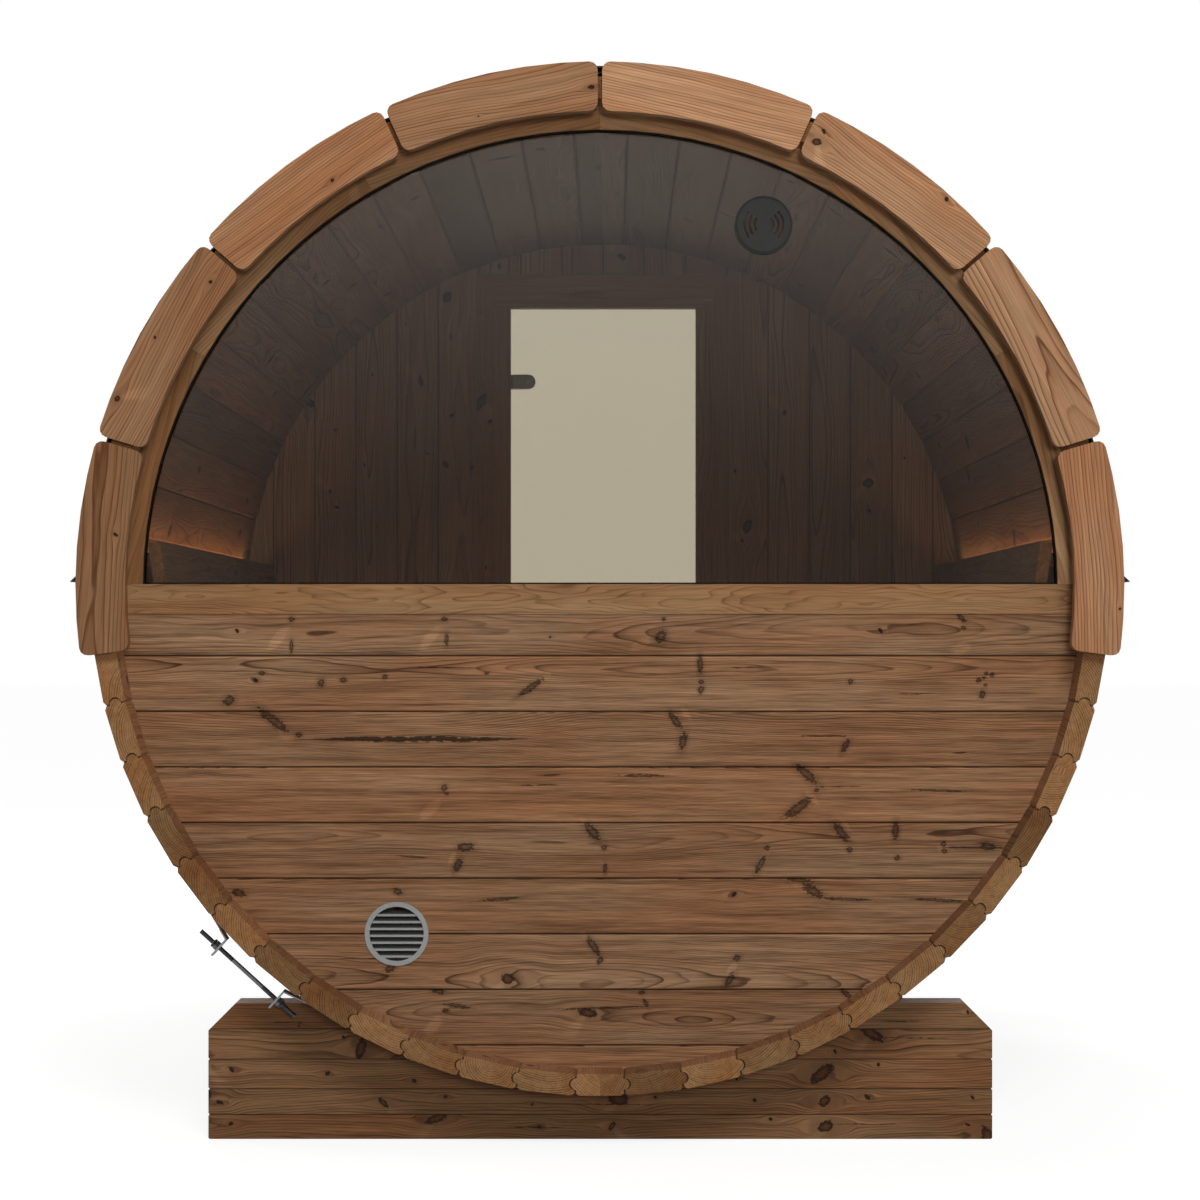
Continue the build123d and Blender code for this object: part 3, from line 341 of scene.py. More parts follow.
    rough = g.add(g.fma(fibre, 0.14, 0.47), g.mul(given["End"], 0.14))
    height = g.add(g.mul(late, -0.35), g.fma(fibre, 0.55, g.fma(crack, -1.5, g.mul(mark, -0.6))))
    result = g.node("NodeGroupOutput")
    g.put(result.inputs["Color"], final)
    g.put(result.inputs["Roughness"], rough)
    g.put(result.inputs["Height"], height)
    return tree


wood_group = build_wood_group()


def wood(name, place, pale, dark, end_pale=None, end_dark=None, ring=0.0052, contrast=0.75, half=0.045,
         knots=0.5, variety=0.22, bumpiness=0.35, rift=0.0, fine=1.0, wave=1.0, cracks=0.0):
    """A wood material. place(g, x, y, z) gives the point along, across and through a board, its number, the way
    its grain runs where its ends show, and a shade."""
    material, g, shader = new_material(name)
    x, y, z, normal = object_point(g)
    u, v, w, seed, grain, shade = place(g, x, y, z)
    made = g.node("ShaderNodeGroup")
    made.node_tree = wood_group
    end = 0.0
    if grain is not None:
        turned = g.node("ShaderNodeVectorMath", {0: normal, 1: grain}, operation="DOT_PRODUCT")
        end = g.step(g.math("ABSOLUTE", turned.outputs["Value"]), 0.75, 0.85)
    values = {
        "Point": g.join(u, v, w),
        "Seed": seed,
        "Pale": pale,
        "Dark": dark,
        "End Pale": end_pale or pale,
        "End Dark": end_dark or dark,
        "Ring": ring,
        "Contrast": contrast,
        "Half": half,
        "Knots": knots,
        "Variety": variety,
        "End": end,
        "Rift": rift,
        "Fibre": fine,
        "Wave": wave,
        "Cracks": cracks,
    }
    for key, value in values.items():
        g.put(made.inputs[key], value)
    colour = made.outputs["Color"]
    if shade is not None:
        colour = g.vec("MULTIPLY", colour, shade)
    g.put(shader.inputs["Base Color"], colour)
    g.put(shader.inputs["Roughness"], made.outputs["Roughness"])
    bump(g, shader, made.outputs["Height"], bumpiness, 0.0007)
    shader.inputs["Specular IOR Level"].default_value = 0.1
    return material


ALONG_X, ALONG_Y, ALONG_Z = (1, 0, 0), (0, 1, 0), (0, 0, 1)


def seam(g, value, pitch, half_width, depth):
    """Dark on both sides of every whole value: 1 away from it and 1 - depth on it."""
    part = g.math("FRACT", value)
    away = g.mul(g.math("MINIMUM", part, g.sub(1.0, part)), pitch)
    return g.step(away, 0.6 * half_width, 1.6 * half_width, 1.0 - depth, 1.0)


def turned_to(g, x, z, centre):
    """Distances along the tangent and outwards, at an angle from the top of the barrel towards +X."""
    cosine, sine = g.math("COSINE", centre), g.math("SINE", centre)
    tangent = g.sub(g.mul(x, cosine), g.mul(z, sine))
    outward = g.fma(x, sine, g.mul(z, cosine))
    return tangent, outward


def place_stave(g, x, y, z):
    """Staves are counted up each side from the bottom; a bead belongs to the stave below it."""
    below = g.math("ARCTAN2", x, g.mul(z, -1.0))
    side = g.math("SIGN", below)
    radius = g.math("SQRT", g.add(g.mul(x, x), g.mul(z, z)))
    depth = g.sub(radius, STAVE_MIDDLE)
    bead = g.math("SQRT", g.math("MAXIMUM", g.sub(BEAD * BEAD, g.mul(depth, depth)), 0.0))
    climbed = g.sub(g.math("ABSOLUTE", below), g.mul(bead, 1 / STAVE_MIDDLE))
    place = g.mul(g.sub(climbed, CLOSING_HALF), 1 / STAVE_ANGLE)
    number = g.math("FLOOR", place)
    centre = g.mul(side, g.fma(g.add(number, 0.5), STAVE_ANGLE, CLOSING_HALF))
    cosine, sine = g.math("COSINE", centre), g.math("SINE", centre)
    across = g.fma(x, cosine, g.mul(z, sine))
    outward = g.sub(g.mul(x, sine), g.mul(z, cosine))
    seed = g.fma(number, 1.71, g.mul(side, 0.613))
    line = seam(g, place, STAVE_ANGLE * STAVE_MIDDLE, 0.0015, 0.85)
    shade = g.pick(g.math("GREATER_THAN", radius, ROOM_RADIUS + 0.0045), 1.0, line)
    return y, across, g.sub(outward, STAVE_MIDDLE), seed, ALONG_Y, shade


def place_arc(segment, middle, salt, level, tones_and_painted_light=None):
    """Curved boards round the barrel; the levels given run from the lowest board on -X to the lowest on +X, and carry
    painted light and shade besides the boards' own tones.
    """

    def place(g, x, y, z):
        angle = g.math("ARCTAN2", x, z)
        number = g.math("FLOOR", g.mul(angle, 1 / segment))
        centre = g.mul(g.add(number, 0.5), segment)
        tangent, outward = turned_to(g, x, z, centre)
        end = g.math("SIGN", y)
        seed = g.add(g.fma(number, 1.37, salt), g.mul(end, 5.1))
        shade = None
        # Painted light: each board's level darkens or lightens it as light from the right would
        if tones_and_painted_light:
            count = len(tones_and_painted_light)
            stops = [((n + 0.02) / count, tone) for n, tone in enumerate(tones_and_painted_light)]
            made = g.node("ShaderNodeValToRGB", {0: g.mul(g.add(number, count / 2 + 0.5), 1 / count)})
            made.color_ramp.interpolation = "CONSTANT"
            for n, (position, tone) in enumerate(stops):
                element = made.color_ramp.elements[n] if n < 2 else made.color_ramp.elements.new(position)
                element.position = position
                element.color = (tone, tone ** 1.15, tone ** 1.35, 1)
            shade = made.outputs[0]
        return tangent, g.sub(outward, middle), g.sub(y, g.mul(end, level)), seed, None, shade

    return place


# Knots of the wall under the window: across, height above the axis, half length, half width (mm), turn (degrees)
WALL_KNOTS = (
    (-605, -63, 6, 5, 0), (-605, -116, 12, 4, 88), (-305, -63, 6, 5, 0), (-301, -104, 12, 4, 86),
    (119, -97, 14, 11, 60), (125, -63, 4, 4, 0), (-663, -169, 7, 4, 0), (-547, -188, 8, 7, 70), (-503, -182, 7, 5, 0),
    (-422, -177, 5, 5, 0), (-222, -169, 5, 3, 0), (-727, -223, 12, 9, 20), (-137, -198, 31, 6, 35),
    (-641, -261, 38, 9, -38), (-591, -290, 7, 5, 0), (708, -61, 12, 5, -45), (712, -80, 5, 4, 0),
    (196, -152, 18, 6, 90), (198, -186, 5, 5, 0), (198, -201, 8, 6, 60), (491, -186, 6, 5, 0), (742, -183, 5, 5, 0),
    (757, -170, 4, 4, 0), (768, -172, 5, 4, 0), (752, -178, 4, 3, 0), (755, -193, 4, 3, 0), (749, -211, 8, 6, 70),
    (147, -262, 20, 7, -55), (162, -302, 18, 8, 78), (440, -292, 45, 2, 0), (481, -311, 15, 6, 60),
    (-98, -369, 20, 2, 2), (83, -370, 40, 3, 0), (-306, -394, 8, 6, 30), (-301, -405, 4, 3, 0),
    (405, -367, 27, 9, -42), (425, -398, 5, 4, 0), (388, -433, 33, 10, 38), (665, -399, 56, 2, -2),
    (-264, -510, 17, 9, 5), (-279, -545, 15, 7, 65), (-367, -529, 30, 2, -4), (-15, -480, 22, 9, -48),
    (8, -511, 6, 5, 0), (10, -552, 10, 4, 88), (473, -482, 24, 8, -50), (489, -515, 6, 6, 0), (579, -478, 18, 7, 88),
    (583, -531, 6, 5, 0), (327, -512, 5, 5, 0), (314, -544, 20, 6, 62), (673, -504, 6, 6, 0), (675, -517, 6, 5, 0),
    (738, -511, 64, 2, 0), (759, -508, 15, 8, -8), (-709, -599, 14, 8, -10), (-397, -597, 10, 6, -20),
    (-196, -612, 38, 3, 4), (391, -575, 27, 4, -5), (417, -596, 24, 9, -30), (483, -612, 50, 3, -2),
    (665, -614, 55, 3, -3), (-14, -703, 22, 7, -55), (0, -731, 8, 5, 60), (-411, -747, 13, 7, 35),
    (268, -727, 8, 6, 40), (254, -769, 15, 7, 55), (-316, -793, 13, 5, -10), (-280, -821, 24, 4, -8),
    (-303, -830, 6, 4, 0), (6, -825, 88, 2, 2), (82, -795, 7, 4, 0), (90, -816, 10, 4, -60), (483, -798, 14, 5, -40),
)
# Pale fans of curled grain beside them: across, height, half length, half width (mm), turn
WALL_FANS = (
    (-630, -100, 38, 13, 48), (-333, -100, 38, 13, 48), (80, -112, 30, 12, 30), (708, -120, 26, 14, 20),
    (-108, -178, 20, 9, 35), (-616, -286, 24, 16, -40), (168, -249, 20, 9, -55), (-333, -437, 36, 14, 44),
    (415, -413, 24, 9, -48), (364, -456, 22, 9, 40), (-29, -464, 22, 8, -48), (321, -531, 26, 10, 60),
    (481, -468, 18, 7, -50), (673, -511, 16, 16, 0), (-431, -765, 30, 10, 30), (-27, -687, 22, 9, -55),
    (258, -750, 22, 10, 60), (-329, -863, 34, 15, 52), (391, -587, 28, 9, -30), (-290, -531, 18, 7, 65),
)


def spots(g, x, z, places):
    """How far a point is from the nearest of some ovals, 1 at an oval's edge.

    Each step reads the one before, scaled to nothing, so that the ovals are worked out one by one and not all at once.
    """
    nearest = 9.0
    for across, height, length, width, turn in places:
        made = g.node("ShaderNodeMapping", {
            "Vector": g.join(x, z, nearest),
            "Location": (across / 1000, height / 1000, 0),
            "Rotation": (0, 0, math.radians(turn)),
            "Scale": (length / 1000, width / 1000, 1e6),
        }, vector_type="TEXTURE")
        away = g.node("ShaderNodeVectorMath", {0: made.outputs[0]}, operation="LENGTH").outputs["Value"]
        nearest = g.math("MINIMUM", away, nearest)
    return nearest


def place_wall(g, x, y, z):
    place = g.mul(g.sub(RAIL_BOTTOM - TOP_BOARD, z), 1 / BOARD)
    row = g.math("FLOOR", place)
    middle = g.fma(g.add(row, 0.5), -BOARD, RAIL_BOTTOM - TOP_BOARD)
    shade = seam(g, place, BOARD, 0.0012, 0.75)
    wander = g.noise(g.join(g.mul(x, 9.0), 3.0, 0.0), 1.0, 3.0)[0]
    ragged = g.noise(g.join(g.mul(x, 60.0), g.mul(z, 200.0), 1.0), 1.0, 2.0)[0]
    away = g.math("ABSOLUTE", g.sub(g.add(z, 0.2985), g.mul(g.sub(wander, 0.5), 0.008)))
    width = g.mul(g.step(g.math("ABSOLUTE", g.add(x, 0.36)), 0.26, 0.05), g.step(ragged, 0.25, 0.6, 0.0026, 0.0085))
    crack = g.step(away, g.add(width, 0.0002), g.mul(width, 0.5))
    shade = g.mul(shade, g.fma(crack, -0.86, 1.0))
    # Painted highlight: a pale line just below each joint, where the board's bevel would catch the light
    below_joint = g.mul(g.math("FRACT", place), BOARD)
    edge = g.mul(g.step(below_joint, 0.0014, 0.0024), g.step(below_joint, 0.0056, 0.0038))
    shade = g.mul(shade, g.fma(edge, 0.16, 1.0))
    fine = g.noise(g.join(g.mul(x, 120.0), g.mul(z, 260.0), 2.0), 1.0, 3.0, 0.7)[0]
    knot = g.fma(g.sub(fine, 0.5), 2.2, spots(g, x, z, WALL_KNOTS))
    dark = g.sub(g.step(knot, 1.15, 0.8), g.mul(g.step(knot, 0.7, 0.2), 0.3))
    shadow = g.mul(g.step(knot, 2.2, 1.0), 0.22)
    shade = g.mul(shade, g.sub(1.0, g.math("MAXIMUM", g.mul(dark, 0.84), shadow)))
    fan = g.step(g.fma(g.sub(fine, 0.5), 0.9, spots(g, x, z, WALL_FANS)), 1.0, 0.45)
    ripple = g.math("SINE", g.fma(g.math("ABSOLUTE", g.sub(wander, 0.5)), 30.0, g.fma(z, 1500.0, g.mul(x, 700.0))))
    shade = g.mul(shade, g.fma(fan, g.fma(ripple, 0.2, 0.34), 1.0))
    return x, g.sub(z, middle), g.add(y, WALL_MIDDLE), g.fma(row, 2.3, 17.0), ALONG_X, shade


def place_upright_wall(g, x, y, z):
    place = g.mul(x, 1 / BOARD)
    column = g.math("FLOOR", place)
    middle = g.mul(g.add(column, 0.5), BOARD)
    shade = seam(g, place, BOARD, 0.0012, 0.7)
    return z, g.sub(x, middle), g.sub(y, WALL_MIDDLE), g.fma(column, 1.9, 53.0), ALONG_Z, shade


def place_rail(g, x, y, z):
    return x, g.add(z, 0.024), g.add(y, WALL_MIDDLE), 4.4, None, None


def place_cradle(g, x, y, z):
    height = g.add(z, AXIS)
    row, middle, shade = 0.0, 0.0245, 1.0
    edges = (0.0, *CRADLE_EDGES, 0.270)
    for n, edge in enumerate(CRADLE_EDGES):
        above = g.math("GREATER_THAN", height, edge)
        row = g.add(above, row)
        here, next_one = (edges[n] + edges[n + 1]) / 2, (edges[n + 1] + edges[n + 2]) / 2
        middle = g.add(g.mul(above, next_one - here), middle)
        away = g.math("ABSOLUTE", g.sub(height, edge))
        shade = g.mul(g.step(away, 0.0006, 0.0017, 0.3, 1.0), shade)
    end = g.math("SIGN", y)
    seed = g.add(g.fma(row, 1.83, 71.0), g.mul(end, 9.7))
    return x, g.sub(height, middle), g.sub(y, g.mul(end, CRADLE_MIDDLE)), seed, ALONG_X, shade


def place_slats(first, pitch, salt, level):
    """Slats along the barrel, counted across it from first."""

    def place(g, x, y, z):
        number = g.math("FLOOR", g.mul(g.sub(g.math("ABSOLUTE", x), first), 1 / pitch))
        middle = g.fma(g.add(number, 0.5), pitch, first)
        seed = g.add(g.fma(number, 1.59, salt), g.mul(g.math("SIGN", x), 3.9))
        return y, g.sub(g.math("ABSOLUTE", x), middle), g.sub(z, level), seed, ALONG_Y, None

    return place


def place_backrest(g, x, y, z):
    lean = math.radians(8.5)
    down = g.math("SUBTRACT", 0.092, z)
    across = g.sub(g.math("ABSOLUTE", x), 0.871)
    along_face = g.sub(g.mul(down, math.cos(lean)), g.mul(across, math.sin(lean)))
    number = g.math("FLOOR", g.mul(along_face, 1 / 0.099))
    middle = g.mul(g.add(number, 0.5), 0.099)
    seed = g.add(g.fma(number, 1.59, 23.0), g.mul(g.math("SIGN", x), 6.1))
    return y, g.sub(along_face, middle), across, seed, ALONG_Y, None


def place_uprights(g, x, y, z):
    seed = g.add(g.math("FLOOR", g.mul(y, 2.0)), g.mul(g.math("SIGN", x), 8.3))
    return z, g.mul(y, 0.5), g.sub(g.math("ABSOLUTE", x), 0.9), seed, None, None


def place_bearers(g, x, y, z):
    return x, g.add(z, 0.885), g.mul(y, 0.1), g.math("FLOOR", g.mul(y, 2.2)), None, None


def place_supports(g, x, y, z):
    """Beams run across the barrel and legs stand under them."""
    leg = g.math("LESS_THAN", z, -0.4833)
    seed = g.add(g.math("FLOOR", g.mul(y, 1.5)), g.mul(g.math("SIGN", x), 4.3))
    across = g.pick(leg, g.add(z, 0.45), g.sub(g.math("ABSOLUTE", x), 0.4575))
    return g.pick(leg, x, z), across, g.mul(y, 0.1), seed, None, None


def place_door_frame(g, x, y, z):
    beyond = g.math("MAXIMUM", g.sub(z, DOOR_LIGHT_TOP), g.sub(DOOR_LIGHT_BOTTOM, z))
    level = g.math("GREATER_THAN", beyond, 0.0)
    width = g.math("ABSOLUTE", x)
    across = g.pick(level, g.sub(width, 0.2665), beyond)
    seed = g.add(g.add(g.math("SIGN", x), g.mul(g.math("SIGN", z), 2.2)), g.mul(level, 5.0))
    upright_seed = g.fma(g.math("SIGN", x), 1.3, 31.0)
    return g.pick(level, z, x), across, g.sub(y, WALL_MIDDLE), g.pick(level, upright_seed, seed), None, None


def place_casing(g, x, y, z):
    width = g.math("ABSOLUTE", x)
    level = g.math("GREATER_THAN", g.sub(z, 0.8173), g.sub(width, 0.2883))
    across = g.pick(level, g.sub(width, 0.311), g.sub(z, 0.84))
    seed = g.add(g.math("SIGN", y), g.mul(level, 6.0))
    upright_seed = g.add(g.fma(g.math("SIGN", x), 2.7, 43.0), g.math("SIGN", y))
    return g.pick(level, z, x), across, g.sub(y, WALL_MIDDLE), g.pick(level, upright_seed, seed), None, None


def place_handle(g, x, y, z):
    return z, g.sub(x, 0.183), g.sub(y, LEAF_OUTER), g.math("SIGN", g.sub(y, LEAF_OUTER)), None, None


WALL_PALE, WALL_DARK = linear(147, 112, 84), linear(80, 55, 38)
END_PALE, END_DARK = linear(145, 109, 74), linear(66, 41, 25)

# Levels of the ring's and the trim's boards, from the lowest on the left to the lowest on the right. The ring's are
# painted light, low on the left and high on the right as if lit from the right; the trim's are partly the boards' own
# tones and partly painted light, darker on the left.
RING_PAINTED_LIGHT = (0.7, 0.75, 1.1, 1.2, 1.4, 1.6, 1.45, 1.45)
TRIM_TONES_AND_PAINTED_LIGHT = (0.62, 0.80, 0.92, 0.86, 1.16, 1.0, 1.02, 0.97)

looks = {
    "staves": wood("stave wood", place_stave, linear(140, 102, 74), linear(90, 61, 41), END_PALE, END_DARK,
                   ring=0.0046, contrast=0.95, half=0.045, knots=0.42, variety=0.55),
    "wall_boards": wood("wall board wood", place_wall, WALL_PALE, WALL_DARK, END_PALE, END_DARK, knots=0.06,
                        variety=0.2, ring=0.0025, contrast=1.0, rift=0.03, fine=2.0, cracks=0.3),
    "door_wall": wood("door wall wood", place_upright_wall, WALL_PALE, WALL_DARK, END_PALE, END_DARK, knots=0.55,
                      variety=0.2),
    "ring": wood("window ring wood", place_arc(RING_SEGMENT, 0.92, 83.0, WALL_MIDDLE, RING_PAINTED_LIGHT), linear(158, 118, 82), linear(104, 71, 45),
                 contrast=0.7, half=0.02, knots=0.1, variety=0.10, ring=0.006),
    "rail": wood("window rail wood", place_rail, linear(156, 120, 86), linear(104, 74, 48), contrast=0.85, half=0.03,
                 knots=0.0, variety=0.05, ring=0.0021, bumpiness=0.2, wave=2.8),
    "trim": wood("trim wood", place_arc(TRIM_ANGLE, TRIM_MIDDLE, 91.0, 1.164, TRIM_TONES_AND_PAINTED_LIGHT), linear(180, 137, 103),
                 linear(112, 69, 43), contrast=0.95, half=0.04, knots=0.45, variety=0.10, ring=0.0054, rift=0.075,
                 wave=1.3),
    "cradle": wood("cradle wood", place_cradle, linear(132, 96, 67), linear(66, 43, 28), knots=0.75, half=0.024, contrast=1.0,
                   end_pale=END_PALE, end_dark=END_DARK, variety=0.25, fine=1.7, cracks=0.5),
    "door_frame": wood("door frame wood", place_door_frame, linear(148, 110, 78), linear(102, 70, 46), half=0.018,
                       knots=0.12, variety=0.1),
    "casing": wood("casing wood", place_casing, linear(148, 110, 78), linear(100, 68, 46), half=0.02, knots=0.2,
                   variety=0.12),
    "floor": wood("floor wood", place_slats(-0.392, 0.099, 5.0, -0.842), linear(132, 96, 70), linear(86, 58, 40), half=0.04,
                  knots=0.4, variety=0.18),
    "bench": wood("bench wood", place_slats(0.405, 0.1135, 13.0, -0.399), linear(140, 103, 75), linear(90, 62, 43), half=0.045,
                  knots=0.3, variety=0.18),
    "backrest": wood("backrest wood", place_backrest, linear(140, 103, 75), linear(90, 62, 43), half=0.04, knots=0.3,
                     variety=0.18),
    "bearers": wood("bearer wood", place_bearers, linear(124, 90, 64), linear(82, 56, 38), knots=0.2, variety=0.15),
    "supports": wood("support wood", place_supports, linear(130, 94, 68), linear(86, 58, 40), half=0.03, knots=0.25,
                     variety=0.15),
    "brackets": wood("bracket wood", place_uprights, linear(124, 90, 64), linear(82, 56, 38), half=0.03, knots=0.1,
                     variety=0.15),
    "handle": wood("handle wood", place_handle, linear(150, 108, 76), linear(98, 66, 44), half=0.01, knots=0.0,
                   variety=0.05, ring=0.004, bumpiness=0.2),
}


# Bitumen shingles: mineral granules in several greys, each tab in a tone of its own
def shingle_look():
    material, g, shader = new_material("shingle", Roughness=0.9)
    x, y, z, _ = object_point(g)
    angle = g.math("ARCTAN2", z, g.math("ABSOLUTE", x))
    course = g.math("FLOOR", g.mul(g.sub(angle, COURSE_START), 1 / COURSE_ANGLE))
    shifted = g.fma(g.math("WRAP", course, 2.0, 0.0), TAB_WIDTH / 2, y)
    tab = g.math("FLOOR", g.mul(shifted, 1 / TAB_WIDTH))
    tone = g.hash(g.add(g.fma(course, 7.3, tab), g.mul(g.math("SIGN", x), 37.0)))[3]
    point = g.node("ShaderNodeTexCoord").outputs["Object"]
    grains = g.node("ShaderNodeTexVoronoi", {"Vector": point, "Scale": 620.0})
    speck = g.split(grains.outputs["Color"])[0]
    cloud = g.noise(point, 9.0, 3.0)[0]
    grey = g.ramp(speck, ((0.0, linear(22, 22, 23)), (0.55, linear(40, 40, 41)), (0.86, linear(62, 61, 60)), (1.0, linear(96, 94, 92))))
    level = g.mul(g.fma(tone, 0.3, 0.85), g.step(cloud, 0.3, 0.7, 0.88, 1.14, False))
    g.put(shader.inputs["Base Color"], g.scale(grey, level))
    bump(g, shader, g.add(g.mul(grains.outputs["Distance"], -1.0), g.mul(speck, 0.4)), 0.6, 0.0009)
    return material


CREST = math.hypot(STAVE_OUTER, STAVE_OUTER * math.tan(STAVE_ANGLE / 2) - 0.008)
ROOF_RADIUS = CREST + 0.0003 + 0.0015 + 0.0003
SHINGLE = 0.004
COURSES = 11
COURSE_START = math.asin(0.034 / ROOF_RADIUS)
COURSE_ANGLE = (math.pi / 2 - 0.00015 / ROOF_RADIUS - COURSE_START) / COURSES
COURSE_FULL = COURSE_ANGLE + 0.05 / ROOF_RADIUS
COURSE_LIFT = (SHINGLE + 0.0003) * COURSE_FULL / COURSE_ANGLE
TAB_WIDTH = 0.333
TAB_SLOT = 0.007
looks["shingle"] = shingle_look()


def metal_look(name, colour, roughness, brushed=None, metallic=1.0, spots=0.0, shine=0.5):
    """Metal with brushing along an axis, or a mottled coat where brushed is None."""
    material, g, shader = new_material(name, Metallic=metallic)
    point = g.node("ShaderNodeTexCoord").outputs["Object"]
    stretch = {None: (1, 1, 1), "x": (0.03, 1, 1), "y": (1, 0.03, 1), "z": (1, 1, 0.03)}[brushed]
    streaks = g.noise(g.vec("MULTIPLY", point, stretch), 700.0 if brushed else 260.0, 3.0, 0.6)[0]
    cloud = g.noise(point, 7.0, 3.0)[0]
    level = g.mul(g.step(streaks, 0.3, 0.7, 0.86, 1.1, False), g.step(cloud, 0.3, 0.7, 0.9, 1.08, False))
    g.put(shader.inputs["Base Color"], g.scale(colour, level))
    g.put(shader.inputs["Roughness"], g.add(g.mul(streaks, 0.16), roughness - 0.08))
    bump(g, shader, streaks, 0.12 + spots, 0.0002)
    shader.inputs["Specular IOR Level"].default_value = shine
    return material


looks["dark_metal"] = metal_look("drip edge coat", linear(20, 20, 21), 0.5, metallic=0.0, shine=0.2)
looks["band_steel"] = metal_look("band steel", linear(112, 112, 113), 0.42, "x")
looks["rod_steel"] = metal_look("rod steel", linear(96, 96, 98), 0.45, "y")
looks["thread_steel"] = metal_look("thread steel", linear(44, 44, 46), 0.55)
looks["nut_steel"] = metal_look("nut steel", linear(66, 67, 69), 0.5)
looks["hinge_metal"] = metal_look("hinge steel", linear(130, 127, 122), 0.34, "z")
looks["screw_steel"] = metal_look("screw steel", linear(130, 131, 134), 0.34)
looks["vent_black"] = metal_look("vent plastic", linear(50, 50, 49), 0.5, metallic=0.0, spots=0.1, shine=0.15)
vent_material = looks["vent_black"]
g = Graph(vent_material.node_tree)
vent_shader = next(n for n in vent_material.node_tree.nodes if n.type == "BSDF_PRINCIPLED")
x, y, z, _ = object_point(g)
x, z = g.sub(x, VENT_X), g.sub(z, VENT_Z)
from_middle = g.math("SQRT", g.add(g.mul(x, x), g.mul(z, z)))
# Painted shade: a dark ring 53.5 mm from the vent's middle, drawn as the shade of a groove round its rim
painted_groove_shade = g.step(g.math("ABSOLUTE", g.sub(from_middle, 0.0535)), 0.0017, 0.0009)
g.put(vent_shader.inputs["Base Color"], g.scale(vent_shader.inputs["Base Color"].links[0].from_socket, g.fma(painted_groove_shade, -0.7, 1.0)))
looks["vent_grey"] = metal_look("louvre coat", linear(140, 140, 139), 0.42, metallic=0.15)
louvre_material = looks["vent_grey"]
g = Graph(louvre_material.node_tree)
louvre_shader = next(n for n in louvre_material.node_tree.nodes if n.type == "BSDF_PRINCIPLED")
# Painted shade: the louvre's colour falls to 0.16 of itself deeper than the wall's face, where the slats and sleeve lie
# in shade
depth = g.step(object_point(g)[1], -WALL_FACE + 0.0005, -WALL_FACE + 0.0045, 1.0, 0.16)
g.put(louvre_shader.inputs["Base Color"], g.scale(louvre_shader.inputs["Base Color"].links[0].from_socket, depth))
looks["gasket"] = metal_look("gasket rubber", linear(13, 12, 11), 0.7, metallic=0.0, spots=0.2, shine=0.12)
looks["felt"] = metal_look("roof felt", linear(24, 24, 25), 0.95, metallic=0.0, spots=0.4)


def glass_look(name, tint, ior):
    """Tinted glass that lets lamps through in its own tint."""
    material, g, shader = new_material(name, Roughness=0.0)
    shader.inputs["Base Color"].default_value = tint
    shader.inputs["Transmission Weight"].default_value = 1.0
    shader.inputs["IOR"].default_value = ior
    output = next(n for n in material.node_tree.nodes if n.type == "OUTPUT_MATERIAL")
    clear = g.node("ShaderNodeBsdfTransparent", {"Color": tint})
    path = g.node("ShaderNodeLightPath")
    joined = g.node("ShaderNodeMixShader", {0: path.outputs["Is Shadow Ray"]})
    g.put(joined.inputs[1], shader.outputs[0])
    g.put(joined.inputs[2], clear.outputs[0])
    g.put(output.inputs["Surface"], joined.outputs[0])
    return material


looks["window_pane"] = glass_look("window glass", (0.60, 0.555, 0.465, 1.0), 1.22)
looks["door_pane"] = glass_look("door glass", (0.69, 0.67, 0.585, 1.0), 1.22)

lamp_material, lamp_graph, lamp_shader = new_material("light diffuser", Roughness=0.5)
lamp_point = lamp_graph.node("ShaderNodeTexCoord").outputs["Object"]
lamp_dots = lamp_graph.math("SINE", lamp_graph.mul(lamp_graph.split(lamp_point)[1], 2 * math.pi / 0.03))
lamp_graph.put(lamp_shader.inputs["Base Color"], lamp_graph.mix(
    lamp_graph.step(lamp_dots, -1.0, 1.0), linear(225, 190, 140), linear(245, 222, 180)))
lamp_graph.put(lamp_shader.inputs["Emission Color"], lamp_graph.mix(
    lamp_graph.step(lamp_dots, -1.0, 1.0), linear(240, 150, 70), linear(255, 190, 110)))
cap = lamp_graph.math("LESS_THAN", lamp_graph.math("ABSOLUTE", lamp_graph.split(lamp_point)[1]), 0.9)
lamp_graph.put(lamp_shader.inputs["Base Color"], lamp_graph.mix(cap, linear(60, 58, 55), lamp_shader.inputs["Base Color"].links[0].from_socket))
lamp_graph.put(lamp_shader.inputs["Emission Color"], lamp_graph.mix(cap, (0, 0, 0, 1), lamp_shader.inputs["Emission Color"].links[0].from_socket))
lamp_shader.inputs["Emission Strength"].default_value = 0.35
looks["light"] = lamp_material

